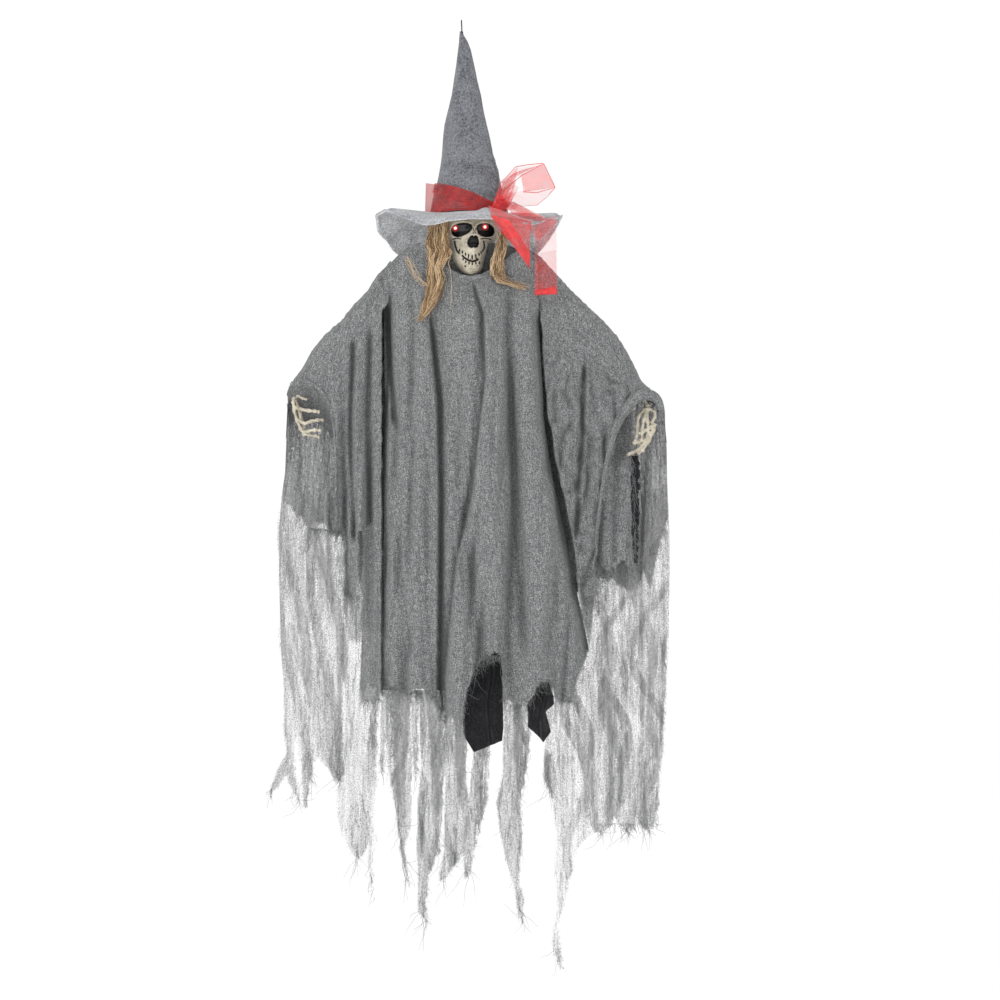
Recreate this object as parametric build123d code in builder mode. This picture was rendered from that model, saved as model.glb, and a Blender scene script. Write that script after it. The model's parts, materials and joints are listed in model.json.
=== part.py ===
from build123d import *
import os
from math import atan2, cos, hypot, pi, radians, sin

# Hanging animated witch figure, in millimetres, +Z up, facing -Y.
# The origin is where the hook bears inside the loop at the hat's tip.

# ---- driving dimensions -------------------------------------------------------------------
NECK_X, NECK_Z = 21.0, -495.0  # top of the torso housing; the figure hangs a little off plumb
HOUSING_W, HOUSING_D, HOUSING_H, WALL = 130.0, 72.0, 190.0, 2.5
CORNER = 9.0
ROD_R, RUNNING = 2.5, 0.05  # hanger rod, and the radial clearance of every running fit
NECK_TUBE_R = 10.0
MODULE, GEAR_TEETH, PINION_TEETH, GEAR_WIDTH = 1.5, 30, 10, 6.0
SHOULDER_REACH, SHOULDER_RISE = 125.0, 12.0  # shoulder pins, out from the rod and above the housing
WRISTS = {"left": (-303.0, 0.0, -688.0), "right": (360.0, 0.0, -722.0)}
SIDES = {"left": -1, "right": 1}
ARM_R, PADDING_R, SLEEVE_R = 5.0, 21.0, 37.0
SKULL_R, SKULL_WALL = 49.0, 2.5
EYE_SPREAD, EYE_HEIGHT = 28.0, 100.0  # lamps either side of the rod, and above the housing
TIP_DROP, TIP_R = 27.0, 5.7  # hat tip below the hook, and its radius
CONE_BASE_W, CONE_BASE_R, FELT = 130.0, 71.0, 2.9
BRIM_R, BRIM_DROP = 175.0, 20.0
ROBE_CENTRE_X, ROBE_TOP_Z, ROBE_HEM_Z, CLOTH = 20.0, -500.5, -1275.0, 5.0
LOWEST_Z = -1801.0
HIP_Z, LEG_BOTTOM_Z, FELT_LEG = -712.0, -1389.0, 8.0
DOOR_W, DOOR_H, DOOR_T = 74.0, 70.0, 2.0
SCREW_R, SCREW_HEAD_R = 1.5, 2.9
KNOB = 1.35  # a bone's end, against its shaft

# ---- planes -------------------------------------------------------------------------------
LEAN = atan2(NECK_X, -NECK_Z)
ROD_LENGTH = hypot(NECK_X, NECK_Z)
CORE = Plane(origin=(NECK_X, 0, NECK_Z), x_dir=(cos(LEAN), 0, sin(LEAN)), z_dir=(-sin(LEAN), 0, cos(LEAN)))
FRONT = Plane(origin=CORE.origin, x_dir=CORE.x_dir, z_dir=(0, -1, 0))
REAR = Plane(origin=CORE.origin, x_dir=CORE.x_dir * -1, z_dir=(0, 1, 0))
BASE = (Align.CENTER, Align.CENTER, Align.MIN)

os.makedirs("parts", exist_ok=True)


def save(builder, name):
    """Names the finished piece and writes it to its own file."""
    builder.part.label = name
    export_step(builder.part, f"parts/{name}.step")


def core_point(x, y, w):
    """A point given across, behind and above the top of the housing, along the rod's axis."""
    return CORE.from_local_coords(Vector(x, y, w))


def gear_outline(teeth, phase):
    """Corner points of a spur gear with straight-flanked teeth, slimmed for free running."""
    pitch_r = MODULE * teeth / 2
    tip_r, root_r = pitch_r + 0.85 * MODULE, pitch_r - 1.15 * MODULE
    flanks = ((root_r, -0.80 * MODULE), (tip_r, -0.30 * MODULE), (tip_r, 0.30 * MODULE), (root_r, 0.80 * MODULE))
    points = []
    for tooth in range(teeth):
        for radius, side in flanks:
            angle = phase + 2 * pi * tooth / teeth + side / radius
            points.append((radius * cos(angle), radius * sin(angle)))
    return points


def bone(start, end, radius):
    """A slim shaft and the knob at its far end, to be joined later; the knob's poles lie off the joints."""
    shaft = end - start
    knob = Plane(origin=end, z_dir=shaft) * Rotation(23, 37, 11) * Sphere(radius * KNOB)
    return [Plane(origin=start, z_dir=shaft) * Cylinder(radius, shaft.length, align=BASE), knob]


# ---- hanger rod and its loop --------------------------------------------------------------
LOOP_WIRE_R, LOOP_BEND_R, LOOP_SIDE, FERRULE = 1.25, 5.25, 12.0, 10.0
loop_top = ROD_LENGTH - (LOOP_BEND_R - LOOP_WIRE_R)
loop_plane = Plane(origin=core_point(0, 0, loop_top), x_dir=(0, 1, 0), z_dir=CORE.x_dir)
with BuildPart() as hang_loop:
    with BuildLine(loop_plane) as loop_path:
        CenterArc((0, 0), LOOP_BEND_R, 0, 180)
        Line((-LOOP_BEND_R, 0), (-LOOP_BEND_R, -LOOP_SIDE))
        CenterArc((0, -LOOP_SIDE), LOOP_BEND_R, 180, 180)
        Line((LOOP_BEND_R, -LOOP_SIDE), (LOOP_BEND_R, 0))
    with BuildSketch(Plane(origin=loop_path.line @ 0, x_dir=CORE.x_dir, z_dir=loop_path.line % 0)):
        Circle(LOOP_WIRE_R)
    sweep()
    ferrule_top = loop_top - LOOP_SIDE - LOOP_BEND_R + 1.0
    with BuildSketch(CORE.offset(ferrule_top - FERRULE)):
        Circle(ROD_R)
    extrude(amount=FERRULE)
save(hang_loop, "hang_loop")

rod_top = ferrule_top - FERRULE
rod_bottom = -HOUSING_H - 9.0
with BuildPart() as hanger_rod:
    with BuildSketch(CORE.offset(rod_bottom)):
        Circle(ROD_R)
    extrude(amount=rod_top - rod_bottom)
save(hanger_rod, "hanger_rod")

NUT_FLATS, NUT_H, LUG_T = 8.0, 4.0, 3.0
with BuildPart() as rod_nut:
    with BuildSketch(CORE.offset(-HOUSING_H - LUG_T - NUT_H)):
        RegularPolygon(NUT_FLATS / 2, 6, major_radius=False)
        Circle(ROD_R, mode=Mode.SUBTRACT)
    extrude(amount=NUT_H)
save(rod_nut, "rod_nut")

# ---- torso housing ------------------------------------------------------------------------
SCREW_PLACES = [(x, w) for x in (-54, 54) for w in (-10, -180)]
SPEAKER_W, SPEAKER_R = -138.0, 25.0
DOOR_MID_W = -129.0
RAIL_X, RAIL_OUT = DOOR_W / 2 + 0.4, 4.2
SWITCH_X, BUTTON_X, CONTROL_W = 50.0, -50.0, -60.0


def housing_half(keep_front):
    """One half of the rounded, hollow torso box, split on the rod's plane, with its screw posts."""
    with BuildPart() as half:
        with BuildSketch(CORE.offset(-HOUSING_H)):
            RectangleRounded(HOUSING_W, HOUSING_D, CORNER)
        extrude(amount=HOUSING_H)
        with BuildSketch(CORE.offset(WALL - HOUSING_H)):
            RectangleRounded(HOUSING_W - 2 * WALL, HOUSING_D - 2 * WALL, CORNER - WALL)
        extrude(amount=HOUSING_H - 2 * WALL, mode=Mode.SUBTRACT)
        for x, w in SCREW_PLACES:
            with Locations(Plane(origin=core_point(x, HOUSING_D / 2 - 1, w), z_dir=(0, -1, 0))):
                Cylinder(4.2, HOUSING_D - 2, align=BASE)
        with BuildSketch(CORE.offset(-WALL)):
            Circle(NECK_TUBE_R + 0.8)
        extrude(amount=WALL, mode=Mode.SUBTRACT)
        with BuildSketch(CORE.offset(-HOUSING_H)):
            Circle(ROD_R + 0.1)
        extrude(amount=WALL, mode=Mode.SUBTRACT)
        for x in (-50, 50):
            for y in (-8, 8):
                with Locations(CORE * Location((x, y, -WALL))):
                    Cylinder(SCREW_R + RUNNING, WALL, align=BASE, mode=Mode.SUBTRACT)
        split(bisect_by=Plane.XZ, keep=Keep.TOP if keep_front else Keep.BOTTOM)
    return half.part


with BuildPart() as torso_front_shell:
    add(housing_half(True))
    for x, w in SCREW_PLACES:
        with Locations(Plane(origin=core_point(x, -22, w), z_dir=(0, 1, 0))):
            Cylinder(SCREW_R + RUNNING, 22, align=BASE, mode=Mode.SUBTRACT)
    grille_plane = FRONT.offset(HOUSING_D / 2 - WALL)
    with BuildSketch(grille_plane):
        for ring, count in ((6, 6), (12, 12), (18, 16)):
            with Locations((0, SPEAKER_W)):
                with PolarLocations(ring, count):
                    Circle(1.6)
    extrude(amount=WALL, mode=Mode.SUBTRACT)
save(torso_front_shell, "torso_front_shell")

with BuildPart() as torso_rear_shell:
    add(housing_half(False))
    for x, w in SCREW_PLACES:
        with Locations(Plane(origin=core_point(x, 0, w), z_dir=(0, 1, 0))):
            Cylinder(SCREW_R + RUNNING, HOUSING_D / 2, align=BASE, mode=Mode.SUBTRACT)
        with Locations(Plane(origin=core_point(x, HOUSING_D / 2 - 3, w), z_dir=(0, 1, 0))):
            Cylinder(SCREW_HEAD_R + 0.2, 3, align=BASE, mode=Mode.SUBTRACT)
    with BuildSketch(REAR.offset(HOUSING_D / 2 - WALL)):
        with Locations((0, DOOR_MID_W)):
            Rectangle(DOOR_W - 14, DOOR_H - 8)
        with Locations((-SWITCH_X, CONTROL_W)):
            Rectangle(5.4, 13)
        with Locations((-BUTTON_X, CONTROL_W)):
            Circle(4.3)
    extrude(amount=WALL, mode=Mode.SUBTRACT)
    for side in (-1, 1):
        with BuildSketch(CORE.offset(DOOR_MID_W - DOOR_H / 2)):
            with Locations((side * (RAIL_X + 1.3), HOUSING_D / 2 + RAIL_OUT / 2)):
                Rectangle(2.6, RAIL_OUT)
            with Locations((side * (RAIL_X + 0.1), HOUSING_D / 2 + RAIL_OUT - 0.8)):
                Rectangle(5.0, 1.6)
        extrude(amount=DOOR_H)
    with BuildSketch(CORE.offset(DOOR_MID_W - DOOR_H / 2 - 2.4)):
        with Locations((0, HOUSING_D / 2 + 1.2)):
            Rectangle(DOOR_W, 2.4)
    extrude(amount=2)
save(torso_rear_shell, "torso_rear_shell")

with BuildPart() as shell_screws:
    for x, w in SCREW_PLACES:
        with Locations(Plane(origin=core_point(x, HOUSING_D / 2 - 3, w), z_dir=(0, -1, 0))):
            Cylinder(SCREW_R, 50, align=BASE)
        with Locations(Plane(origin=core_point(x, HOUSING_D / 2 - 3, w), z_dir=(0, 1, 0))):
            Cylinder(SCREW_HEAD_R, 2, align=BASE)
        with Locations(Plane(origin=core_point(x, HOUSING_D / 2 - 1.8, w), z_dir=(0, 1, 0))):
            Box(0.8, 4, 1, align=BASE, mode=Mode.SUBTRACT)
save(shell_screws, "shell_screws")

# ---- batteries and their door -------------------------------------------------------------
CELL_R, CELL_L, CELL_PITCH, CELL_COUNT = 7.25, 49.0, 15.2, 3  # AA cells
TRAY_FLOOR_Y, TRAY_T = 14.0, 1.5
cell_y = TRAY_FLOOR_Y + TRAY_T + CELL_R + 0.3
cell_xs = [(i - (CELL_COUNT - 1) / 2) * CELL_PITCH for i in range(CELL_COUNT)]
with BuildPart() as battery_cells:
    for x in cell_xs:
        with Locations(CORE * Location((x, cell_y, DOOR_MID_W - CELL_L / 2))):
            Cylinder(CELL_R, CELL_L, align=BASE)
        with Locations(CORE * Location((x, cell_y, DOOR_MID_W + CELL_L / 2))):
            Cylinder(2.75, 1.4, align=BASE)
save(battery_cells, "battery_cells")

TRAY_W, TRAY_H, TRAY_D = 54.0, 60.0, 19.0
with BuildPart() as battery_tray:
    with BuildSketch(CORE.offset(DOOR_MID_W - TRAY_H / 2)):
        with Locations((0, TRAY_FLOOR_Y + TRAY_D / 2)):
            Rectangle(TRAY_W, TRAY_D)
    extrude(amount=TRAY_H)
    with BuildSketch(CORE.offset(DOOR_MID_W - TRAY_H / 2 + TRAY_T)):
        with Locations((0, TRAY_FLOOR_Y + TRAY_T + TRAY_D / 2)):
            Rectangle(TRAY_W - 2 * TRAY_T, TRAY_D)
    extrude(amount=TRAY_H - 2 * TRAY_T, mode=Mode.SUBTRACT)
save(battery_tray, "battery_tray")

with BuildPart() as battery_contacts:
    for x in cell_xs:
        with Locations(CORE * Location((x, cell_y, DOOR_MID_W + TRAY_H / 2 - TRAY_T - 0.5))):
            Box(9, 9, 0.5, align=BASE)
        for turn in range(4):
            with Locations(CORE * Location((x, cell_y, DOOR_MID_W - CELL_L / 2 - 0.6 - turn * 0.95))):
                Torus(3.6 - 0.25 * turn, 0.5)
save(battery_contacts, "battery_contacts")

with BuildPart() as battery_door:
    with BuildSketch(REAR.offset(HOUSING_D / 2 + 0.2)):
        with Locations((0, DOOR_MID_W)):
            RectangleRounded(DOOR_W, DOOR_H, 2)
    extrude(amount=DOOR_T)
    for rib in range(4):
        with BuildSketch(REAR.offset(HOUSING_D / 2 + 0.2 + DOOR_T)):
            with Locations((0, DOOR_MID_W + 14 + 4 * rib)):
                Rectangle(26 - 3 * rib, 1.6)
        extrude(amount=0.9)
save(battery_door, "battery_door")

# ---- switch and test button ---------------------------------------------------------------
SWITCH_TRAVEL = 4.0
switch_rest = CONTROL_W - SWITCH_TRAVEL / 2
with BuildPart() as power_switch:
    with Locations(CORE * Location((SWITCH_X, HOUSING_D / 2 - WALL - 1.4, switch_rest))):
        Box(8, 2.0, 7.5)
    with Locations(CORE * Location((SWITCH_X, HOUSING_D / 2 + 0.2, switch_rest))):
        Box(4.6, 6.6, 5)
save(power_switch, "power_switch")

with BuildPart() as switch_housing:
    with Locations(CORE * Location((SWITCH_X, HOUSING_D / 2 - WALL - 7.0, CONTROL_W))):
        Box(10, 7.6, 20)
save(switch_housing, "switch_housing")

with BuildPart() as test_button:
    with Locations(Plane(origin=core_point(BUTTON_X, HOUSING_D / 2 - WALL - 2.6, CONTROL_W), z_dir=(0, 1, 0))):
        Cylinder(4.0, 7.6, align=BASE)
        Cylinder(5.6, 1.0, align=BASE)
    fillet(test_button.edges().filter_by(GeomType.CIRCLE).sort_by(Axis.Y)[-1], 1.0)
save(test_button, "test_button")

with BuildPart() as button_switch:
    with Locations(CORE * Location((BUTTON_X, HOUSING_D / 2 - WALL - 8.0, CONTROL_W))):
        Box(12, 6.8, 12)
save(button_switch, "button_switch")

# ---- speaker and electronics --------------------------------------------------------------
with BuildPart() as speaker:
    with BuildSketch(Plane(origin=core_point(0, 0, SPEAKER_W), x_dir=(0, 1, 0), z_dir=CORE.x_dir)):
        with BuildLine():
            Polyline((-33.4, 0), (-33.4, SPEAKER_R), (-30.4, SPEAKER_R), (-22, 12), (-22, 13.5),
                     (-13, 13.5), (-13, 0), close=True)
        make_face()
    revolve(axis=Axis(core_point(0, 0, SPEAKER_W), (0, 1, 0)), revolution_arc=360)
    with Locations(Plane(origin=core_point(0, -33.4, SPEAKER_W), z_dir=(0, 1, 0))):
        Cone(19, 9, 5, align=BASE, mode=Mode.SUBTRACT)
save(speaker, "speaker")

BOARD_X, BOARD_Y, BOARD_W = 34.0, 5.5, -62.0
with BuildPart() as circuit_board:
    with Locations(CORE * Location((BOARD_X, BOARD_Y, BOARD_W))):
        Box(46, 1.6, 52)
    for x, w, wide, deep, high in ((-10, 8, 14, 3, 10), (8, 12, 8, 9, 8), (8, -10, 12, 4, 12), (-12, -14, 10, 6, 6)):
        with Locations(CORE * Location((BOARD_X + x, BOARD_Y - 0.8 - deep / 2, BOARD_W + w))):
            Box(wide, deep, high)
save(circuit_board, "circuit_board")

with BuildPart() as sound_sensor:
    with Locations(Plane(origin=core_point(-42, -HOUSING_D / 2 + WALL + 0.1, -95), z_dir=(0, 1, 0))):
        Cylinder(4.8, 6.5, align=BASE)
        Cylinder(2.0, 1.0, align=BASE, mode=Mode.SUBTRACT)
save(sound_sensor, "sound_sensor")

# ---- head drive ---------------------------------------------------------------------------
GEAR_W = -12.0  # underside of the gears
CENTRES = MODULE * (GEAR_TEETH + PINION_TEETH) / 2
MOTOR_TOP_W, SHAFT_R = GEAR_W - 5.0, 2.0
with BuildPart() as neck_gear:
    with BuildSketch(CORE.offset(GEAR_W)):
        with BuildLine():
            Polyline(*gear_outline(GEAR_TEETH, 0), close=True)
        make_face()
        Circle(NECK_TUBE_R, mode=Mode.SUBTRACT)
    extrude(amount=GEAR_WIDTH)
save(neck_gear, "neck_gear")

with BuildPart() as drive_pinion:
    pinion_plane = Plane(origin=core_point(-CENTRES, 0, GEAR_W), x_dir=CORE.x_dir, z_dir=CORE.z_dir)
    with BuildSketch(pinion_plane):
        with BuildLine():
            Polyline(*gear_outline(PINION_TEETH, pi / PINION_TEETH), close=True)
        make_face()
    extrude(amount=GEAR_WIDTH)
    with BuildSketch(pinion_plane.offset(-12)):
        Circle(SHAFT_R)
    extrude(amount=12)
save(drive_pinion, "drive_pinion")

with BuildPart() as drive_motor:
    with BuildSketch(CORE.offset(MOTOR_TOP_W - 16)):
        with Locations((-CENTRES, 0)):
            RectangleRounded(28, 26, 3)
    extrude(amount=16)
    with BuildSketch(CORE.offset(MOTOR_TOP_W - 46)):
        with Locations((-CENTRES, 0)):
            Circle(12)
    extrude(amount=30)
    with BuildSketch(CORE.offset(MOTOR_TOP_W - 8)):
        with Locations((-CENTRES, 0)):
            Circle(SHAFT_R + RUNNING)
    extrude(amount=8, mode=Mode.SUBTRACT)
save(drive_motor, "drive_motor")

NECK_TUBE_TOP = 118.0
with BuildPart() as neck_tube:
    with BuildSketch(CORE.offset(GEAR_W)):
        Circle(NECK_TUBE_R)
        Circle(NECK_TUBE_R - 2, mode=Mode.SUBTRACT)
    extrude(amount=NECK_TUBE_TOP - GEAR_W)
save(neck_tube, "neck_tube")

with BuildPart() as neck_bushes:
    for w in (GEAR_W, NECK_TUBE_TOP - 8):
        with BuildSketch(CORE.offset(w)):
            Circle(NECK_TUBE_R - 2)
            Circle(ROD_R + RUNNING, mode=Mode.SUBTRACT)
        extrude(amount=8)
save(neck_bushes, "neck_bushes")

with BuildPart() as rod_collar:
    with BuildSketch(CORE.offset(GEAR_W - 9.3)):
        Circle(9)
        Circle(ROD_R, mode=Mode.SUBTRACT)
    extrude(amount=8)
save(rod_collar, "rod_collar")

with BuildPart() as thrust_washer:
    with BuildSketch(CORE.offset(GEAR_W - 1.3)):
        Circle(9.5)
        Circle(ROD_R + RUNNING, mode=Mode.SUBTRACT)
    extrude(amount=1.0)
save(thrust_washer, "thrust_washer")

# ---- skull --------------------------------------------------------------------------------
SKULL_TOP, CHEEK_W, JAW_TOP, CHIN_W = 156.0, 70.0, 58.0, 11.0
CRANIUM_MID = SKULL_TOP - SKULL_R


def cranium(inset):
    """Half outline of the brain case, revolved about the rod; inset gives the inner face."""
    radius = SKULL_R - inset
    with BuildPart() as shape:
        with BuildSketch(Plane(origin=CORE.origin, x_dir=CORE.x_dir, z_dir=(0, -1, 0))):
            with BuildLine():
                Line((0, JAW_TOP), (radius * 0.86, JAW_TOP))
                Line((radius * 0.86, JAW_TOP), (radius, CHEEK_W + 8))
                Line((radius, CHEEK_W + 8), (radius, CRANIUM_MID))
                RadiusArc((radius, CRANIUM_MID), (0, CRANIUM_MID + radius), -radius)
                Line((0, CRANIUM_MID + radius), (0, JAW_TOP))
            make_face()
        revolve(axis=Axis(core_point(0, 0, 0), CORE.z_dir), revolution_arc=360)
    return shape.part


def jaw(inset):
    """Tapering lower face, narrow and forward at the chin."""
    with BuildPart() as shape:
        with BuildSketch(CORE.offset(CHIN_W)):
            with Locations((0, -18)):
                Ellipse(19 - inset, 32 - inset)
        with BuildSketch(CORE.offset(JAW_TOP + 6)):
            Ellipse(41 - inset, 47 - inset)
        loft()
    return shape.part


NECK_CLEAR = NECK_TUBE_R + 4.0
with BuildPart() as skull_face:
    add(cranium(0))
    add(jaw(0))
    add(cranium(SKULL_WALL), mode=Mode.SUBTRACT)
    add(jaw(SKULL_WALL), mode=Mode.SUBTRACT)
    split(bisect_by=Plane.XZ, keep=Keep.TOP)
    with BuildSketch(FRONT.offset(20)):
        for side in (-1, 1):
            with Locations((side * EYE_SPREAD * 0.82, EYE_HEIGHT - 4)):
                Ellipse(15, 12)
        with Locations((3, 74)):
            Ellipse(6, 9)
        with Locations((3, 48)):
            SlotOverall(26, 3)
    extrude(amount=60, mode=Mode.SUBTRACT)
    with BuildSketch(CORE.offset(SKULL_TOP - 10)):
        Circle(ROD_R + 1)
    extrude(amount=20, mode=Mode.SUBTRACT)
save(skull_face, "skull_face")

with BuildPart() as skull_rear:
    add(cranium(0))
    add(cranium(SKULL_WALL), mode=Mode.SUBTRACT)
    with BuildSketch(CORE.offset(JAW_TOP - 1)):
        Circle(NECK_CLEAR)
    extrude(amount=SKULL_WALL + 6, mode=Mode.SUBTRACT)
    with BuildSketch(CORE.offset(SKULL_TOP - 10)):
        Circle(ROD_R + 1)
    extrude(amount=20, mode=Mode.SUBTRACT)
    split(bisect_by=Plane.XZ, keep=Keep.BOTTOM)
save(skull_rear, "skull_rear")

BRIDGE_W = NECK_TUBE_TOP - 7
with BuildPart() as skull_bridge:
    with BuildSketch(CORE.offset(BRIDGE_W)):
        Rectangle(2 * (SKULL_R - SKULL_WALL) - 2.5, 12)
        Circle(NECK_TUBE_R + 4)
        Circle(NECK_TUBE_R, mode=Mode.SUBTRACT)
    extrude(amount=7)
save(skull_bridge, "skull_bridge")

SCREW_LENGTH = 12.0
with BuildPart() as skull_screws:
    for side in (-1, 1):
        head_plane = Plane(origin=core_point(side * (SKULL_R + 1.4), 3.2, BRIDGE_W + 3.5), z_dir=CORE.x_dir * -side)
        with Locations(head_plane):
            Cylinder(SCREW_HEAD_R, 1.4, align=BASE)
save(skull_screws, "skull_screws")

LED_R, LED_Y = 2.5, -27.0
with BuildPart() as led_holder:
    with Locations(CORE * Location((0, LED_Y, EYE_HEIGHT))):
        Box(2 * EYE_SPREAD + 12, 3, 12)
    with Locations(CORE * Location((0, -NECK_TUBE_R, EYE_HEIGHT))):
        Box(8, -LED_Y - NECK_TUBE_R - 1, 6, align=(Align.CENTER, Align.MAX, Align.CENTER))
    with Locations(CORE * Location((0, -NECK_TUBE_R - 1, EYE_HEIGHT))):
        Box(20, 2, 6)
    for side in (-1, 1):
        with Locations(Plane(origin=core_point(side * EYE_SPREAD, LED_Y - 2, EYE_HEIGHT), z_dir=(0, 1, 0))):
            Cylinder(LED_R + RUNNING, 4, align=BASE, mode=Mode.SUBTRACT)
save(led_holder, "led_holder")

with BuildPart() as eye_leds:
    for side in (-1, 1):
        with Locations(Plane(origin=core_point(side * EYE_SPREAD, LED_Y + 1.5, EYE_HEIGHT), z_dir=(0, -1, 0))):
            Cylinder(LED_R, 6.5, align=BASE)
        with Locations(core_point(side * EYE_SPREAD, LED_Y - 5.0, EYE_HEIGHT)):
            Sphere(LED_R)
save(eye_leds, "eye_leds")

with BuildPart() as led_lead:
    lead_route = [core_point(*p) for p in ((0, LED_Y + 1.5, EYE_HEIGHT - 4.8), (0, -20, EYE_HEIGHT - 4.8),
                                           (0, -14, EYE_HEIGHT - 14), (0, -12.4, EYE_HEIGHT - 34),
                                           (0, -12.2, EYE_HEIGHT - 64))]
    with BuildLine() as lead_path:
        FilletPolyline(*lead_route, radius=[3.5, 12, 120])
    with BuildSketch(Plane(origin=lead_path.line @ 0, z_dir=lead_path.line % 0)):
        Circle(1.1)
    sweep()
save(led_lead, "led_lead")

# ---- hat ----------------------------------------------------------------------------------
TIP_W = ROD_LENGTH - TIP_DROP


def profile_sketch_plane(angle=0):
    """The rod's half plane, turned from +X towards the front, for what is revolved about the rod."""
    outward = CORE.x_dir * cos(radians(angle)) - Vector(0, sin(radians(angle)), 0)
    return Plane(origin=CORE.origin, x_dir=outward, z_dir=outward.cross(CORE.z_dir))


with BuildPart() as hat_cone:
    with BuildSketch(profile_sketch_plane()):
        with BuildLine():
            Polyline((ROD_R + 0.3, TIP_W), (TIP_R, TIP_W), (CONE_BASE_R, CONE_BASE_W),
                     (CONE_BASE_R - FELT, CONE_BASE_W), close=True)
        make_face()
    revolve(axis=Axis(core_point(0, 0, 0), CORE.z_dir), revolution_arc=360)
save(hat_cone, "hat_cone")

with BuildPart() as hat_brim:
    with BuildSketch(profile_sketch_plane()):
        with BuildLine():
            Polyline((CONE_BASE_R - FELT - 2, CONE_BASE_W), (CONE_BASE_R + 6, CONE_BASE_W),
                     (BRIM_R, CONE_BASE_W - BRIM_DROP), (BRIM_R, CONE_BASE_W - BRIM_DROP - 4),
                     (CONE_BASE_R - FELT - 2, CONE_BASE_W - 4), close=True)
        make_face()
    revolve(axis=Axis(core_point(0, 0, 0), CORE.z_dir), revolution_arc=360)
save(hat_brim, "hat_brim")

with BuildPart() as hat_former:
    with BuildSketch(CORE.offset(CONE_BASE_W - 4)):
        Circle(CONE_BASE_R - FELT - 2.05)
        Circle(SKULL_R + 0.1, mode=Mode.SUBTRACT)
    extrude(amount=4)
save(hat_former, "hat_former")

CONE_SLOPE = (CONE_BASE_R - TIP_R) / (TIP_W - CONE_BASE_W)
BAND_H, BAND_T = 32.0, 2.5
with BuildPart() as ribbon_band:
    with BuildSketch(profile_sketch_plane()):
        with BuildLine():
            Polyline((CONE_BASE_R, CONE_BASE_W), (CONE_BASE_R + BAND_T, CONE_BASE_W),
                     (CONE_BASE_R + BAND_T - BAND_H * CONE_SLOPE, CONE_BASE_W + BAND_H),
                     (CONE_BASE_R - BAND_H * CONE_SLOPE, CONE_BASE_W + BAND_H), close=True)
        make_face()
    revolve(axis=Axis(core_point(0, 0, 0), CORE.z_dir), revolution_arc=360)
save(ribbon_band, "ribbon_band")

KNOT = (62.0, -62.0, 148.0)
with BuildPart() as ribbon_bow:
    with BuildSketch(FRONT.offset(-KNOT[1] - 11)):
        with Locations((KNOT[0], KNOT[2])):
            Circle(13)
    extrude(amount=24)
    for across, above, length, height, tilt in ((56, 28, 98, 38, 24), (50, -2, 82, 22, -4)):
        with BuildSketch(FRONT.offset(-KNOT[1] - 8)):
            with Locations((KNOT[0] + across, KNOT[2] + above)):
                RectangleRounded(length, height, 9, rotation=tilt)
                RectangleRounded(length - 6, height - 6, 6, rotation=tilt, mode=Mode.SUBTRACT)
        extrude(amount=18)
save(ribbon_bow, "ribbon_bow")

with BuildPart() as ribbon_tails:
    for angle in (58, 24):
        with BuildSketch(profile_sketch_plane(angle)):
            with BuildLine():
                Polyline((CONE_BASE_R + 8, CONE_BASE_W + 0.4), (BRIM_R + 1, CONE_BASE_W - BRIM_DROP + 0.5),
                         (BRIM_R + 1, CONE_BASE_W - BRIM_DROP - 28), (BRIM_R + 3, CONE_BASE_W - BRIM_DROP - 28),
                         (BRIM_R + 3, CONE_BASE_W - BRIM_DROP + 2.5), (CONE_BASE_R + 8, CONE_BASE_W + 2.4), close=True)
            make_face()
        revolve(axis=Axis(core_point(0, 0, 0), CORE.z_dir), revolution_arc=12)
save(ribbon_tails, "ribbon_tails")

HAIR_TOP, HAIR_END = 108.0, 8.0
for name, side in SIDES.items():
    with BuildPart() as hair:
        with BuildSketch(CORE.offset(HAIR_END)):
            with Locations((side * 68, -24)):
                Ellipse(7, 5)
        with BuildSketch(CORE.offset(HAIR_TOP - 40)):
            with Locations((side * 66, -14)):
                Ellipse(13, 11)
        with BuildSketch(CORE.offset(HAIR_TOP)):
            with Locations((side * 62, -6)):
                Ellipse(11, 18)
        loft()
    save(hair, f"{name}_hair")

# ---- shoulders ----------------------------------------------------------------------------
BAR_T, BAR_DEPTH, EAR_Y, EAR_T, PIN_R, EYE_BORE = 3.0, 26.0, 8.5, 3.0, 3.0, 3.05
SHOULDERS = {name: core_point(side * SHOULDER_REACH, 0, SHOULDER_RISE) for name, side in SIDES.items()}
with BuildPart() as shoulder_bar:
    with BuildSketch(CORE):
        Rectangle(2 * SHOULDER_REACH - 18, BAR_DEPTH)
        Circle(NECK_TUBE_R + 1.5, mode=Mode.SUBTRACT)
        for x in (-50, 50):
            with Locations((x, -8), (x, 8)):
                Circle(SCREW_R + RUNNING, mode=Mode.SUBTRACT)
    extrude(amount=BAR_T)
    for y in (-EAR_Y - EAR_T, EAR_Y):
        with BuildSketch(FRONT.offset(-y - EAR_T)):
            for side in (-1, 1):
                with Locations((side * (SHOULDER_REACH - 8), SHOULDER_RISE / 2 + 2)):
                    Rectangle(30, SHOULDER_RISE + 4)
                with Locations((side * SHOULDER_REACH, SHOULDER_RISE)):
                    Circle(9)
                    Circle(PIN_R, mode=Mode.SUBTRACT)
        extrude(amount=EAR_T)
save(shoulder_bar, "shoulder_bar")

with BuildPart() as bar_screws:
    for x in (-50, 50):
        for y in (-8, 8):
            with Locations(CORE * Location((x, y, -5.5))):
                Cylinder(SCREW_R, 5.5 + BAR_T, align=BASE)
            with Locations(CORE * Location((x, y, BAR_T))):
                Cylinder(SCREW_HEAD_R, 1.7, align=BASE)
save(bar_screws, "bar_screws")

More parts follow.
